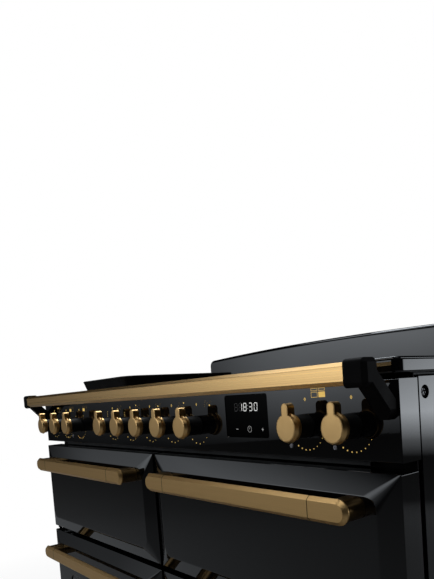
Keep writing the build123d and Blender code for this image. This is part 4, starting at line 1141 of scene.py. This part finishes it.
class COOKER_OT_stage(bpy.types.Operator):
    """Sets the pale floor, the room, the soft lamps and the camera"""

    bl_idname = "cooker.stage"
    bl_label = "Stage"

    def execute(self, context):
        context.scene.view_settings.view_transform = "Standard"
        self.lay_floor()
        self.light_room(context.scene)
        self.place_lamps()
        self.place_camera(context.scene)
        return {"FINISHED"}

    def lay_floor(self):
        """A flat round floor that fades to white in the camera's eye."""
        paint = Finish("studio_floor", Roughness=0.9, Specular_IOR_Level=0.05, Emission_Strength=1.0)
        tree = paint.tree
        away = vector_math(tree, "LENGTH", paint.place)["Value"]
        far = ranged(tree, away, 0.0, 1.0, (1.1, 2.6))
        shown = seen_by(tree, "Is Camera Ray", "Is Transmission Ray")
        faded = math_of(tree, "MULTIPLY", shown, far)
        paint.feed(mixed(tree, faded, rgba(sizes("colours").floor), BLACK), "Base Color")
        glow = mixed(tree, far, (0.68, 0.68, 0.68, 1.0), WHITE)
        paint.feed(mixed(tree, shown, BLACK, glow), "Emission Color")
        rings = np.stack([disc_outline(radius, 96) for radius in (9.0, 3.0, 0.02)])
        surface = skin(lying(rings, (0.0, 0.0, 0.0)), open_start=True)
        new_object("floor", surface, paint.material)

    def light_room(self, scene):
        """A room that is white to the camera, even to dull surfaces and a bright wall to glossy ones."""
        s = sizes("stage")
        room = bpy.data.worlds.new("studio")
        scene.world = room
        room.use_nodes = True
        tree = room.node_tree
        tree.nodes.clear()
        way = tree.nodes.new("ShaderNodeTexCoord").outputs["Generated"]
        height = axes_of(tree, way)["Z"]
        rise = ranged(tree, height, 0.06, 1.0, (-0.1, 0.0))
        ceiling = ranged(tree, height, 1.0, 0.10, (0.08, 0.42))
        ahead = vector_math(tree, "DOT_PRODUCT", way, (-0.643, -0.766, 0.0))["Value"]
        wall = ramped(
            tree, ahead, [(0.70, 0.005), (0.84, 0.015), (0.927, 0.18), (0.966, 0.47), (0.993, 1.38)]
        )
        mirrored = math_of(tree, "MULTIPLY", math_of(tree, "MULTIPLY", rise, ceiling), wall)
        tinted = {n: math_of(tree, "MULTIPLY", mirrored, share) for n, share in enumerate(s.tint)}
        grey = node_in(tree, "CombineColor", tinted).outputs[0]
        tone = mixed(tree, seen_by(tree, "Is Glossy Ray"), (s.sky, s.sky, s.sky, 1.0), grey)
        tone = mixed(tree, seen_by(tree, "Is Camera Ray", "Is Transmission Ray"), tone, WHITE)
        light = node_in(tree, "Background", {"Color": tone}).outputs[0]
        node_in(tree, "OutputWorld", {"Surface": light})

    def place_lamps(self):
        """Two soft walls of light at the front and the right rear, and three lamps above."""
        softbox(
            "front_softbox", (-2.16, -2.55, 1.5), (0.0, -0.2, 1.5), (4.2, 1.4), 1.7,
            [(0.0, 0.0), (0.1, 0.16), (0.2, 0.26), (0.5, 0.82), (0.65, 1.0)],
            [(0.0, 0.0), (0.12, 0.05), (0.37, 1.0), (0.58, 1.0), (0.8, 0.4), (1.0, 0.0)],
        )
        softbox(
            "right_rear_softbox", (2.45, 2.65, 0.83), (0.54, -0.19, 0.83), (3.0, 1.0), 4.5, (),
            [(0.0, 0.0), (0.12, 0.2), (0.33, 1.0), (0.55, 0.75), (1.0, 0.35)],
        )
        for name, x, y, size, level in (
            ("overhead_softbox", -0.96, 0.6, (1.31, 1.2), 8.2),
            ("ceiling_softbox", 0.95, -0.85, (2.5, 1.7), 2.1),
            ("left_softbox", -1.9, -0.65, (1.2, 1.4), 2.2),
        ):
            softbox(name, (x, y, 3.2), (x, y, 0.0), size, level)

    def place_camera(self, scene):
        """The camera fitted to the photograph."""
        s = sizes("stage")
        camera = bpy.data.cameras.new("camera")
        camera.lens = s.lens
        camera.sensor_fit = "AUTO"
        camera.sensor_width = 36.0
        camera.shift_x, camera.shift_y = s.shift
        camera.clip_start = 0.02
        eye = bpy.data.objects.new("camera", camera)
        scene.collection.objects.link(eye)
        eye.location = s.camera_at
        eye.rotation_euler = s.camera_turn
        scene.camera = eye


STEPS = (
    COOKER_OT_finishes, COOKER_OT_fronts, COOKER_OT_handles, COOKER_OT_handrail, COOKER_OT_knobs,
    COOKER_OT_fascia_marks, COOKER_OT_clock, COOKER_OT_upstand, COOKER_OT_hob_glass, COOKER_OT_griddle,
    COOKER_OT_side_bolts, COOKER_OT_hob_marks, COOKER_OT_stage,
)
GROUPS = {
    "colours": FinishColours, "fronts": FrontSizes, "trim": TrimSizes, "knobs": KnobSizes, "hob": HobSizes,
    "stage": StageSettings,
}


class COOKER_PT_panel(bpy.types.Panel):
    """Lists the steps and the sizes of the cooker"""

    bl_idname = "COOKER_PT_panel"
    bl_label = "Range cooker"
    bl_space_type = "VIEW_3D"
    bl_region_type = "UI"
    bl_category = "Cooker"

    def draw(self, context):
        for step in STEPS:
            self.layout.operator(step.bl_idname)
        for name, kind in GROUPS.items():
            box = self.layout.box()
            held = getattr(context.scene, "cooker_" + name)
            for field in kind.__annotations__:
                box.prop(held, field)


def register():
    for kind in (*GROUPS.values(), *STEPS, COOKER_PT_panel):
        bpy.utils.register_class(kind)
    for name, kind in GROUPS.items():
        setattr(bpy.types.Scene, "cooker_" + name, bpy.props.PointerProperty(type=kind))


def unregister():
    for name in GROUPS:
        delattr(bpy.types.Scene, "cooker_" + name)
    for kind in reversed((*GROUPS.values(), *STEPS, COOKER_PT_panel)):
        bpy.utils.unregister_class(kind)


def main():
    register()
    bpy.ops.cooker.finishes()
    bpy.ops.cooker.fronts()
    bpy.ops.cooker.handles()
    bpy.ops.cooker.handrail()
    bpy.ops.cooker.knobs()
    bpy.ops.cooker.fascia_marks()
    bpy.ops.cooker.clock()
    bpy.ops.cooker.upstand()
    bpy.ops.cooker.hob_glass()
    bpy.ops.cooker.griddle()
    bpy.ops.cooker.side_bolts()
    bpy.ops.cooker.hob_marks()
    bpy.ops.cooker.stage()


if __name__ == "__main__":
    main()
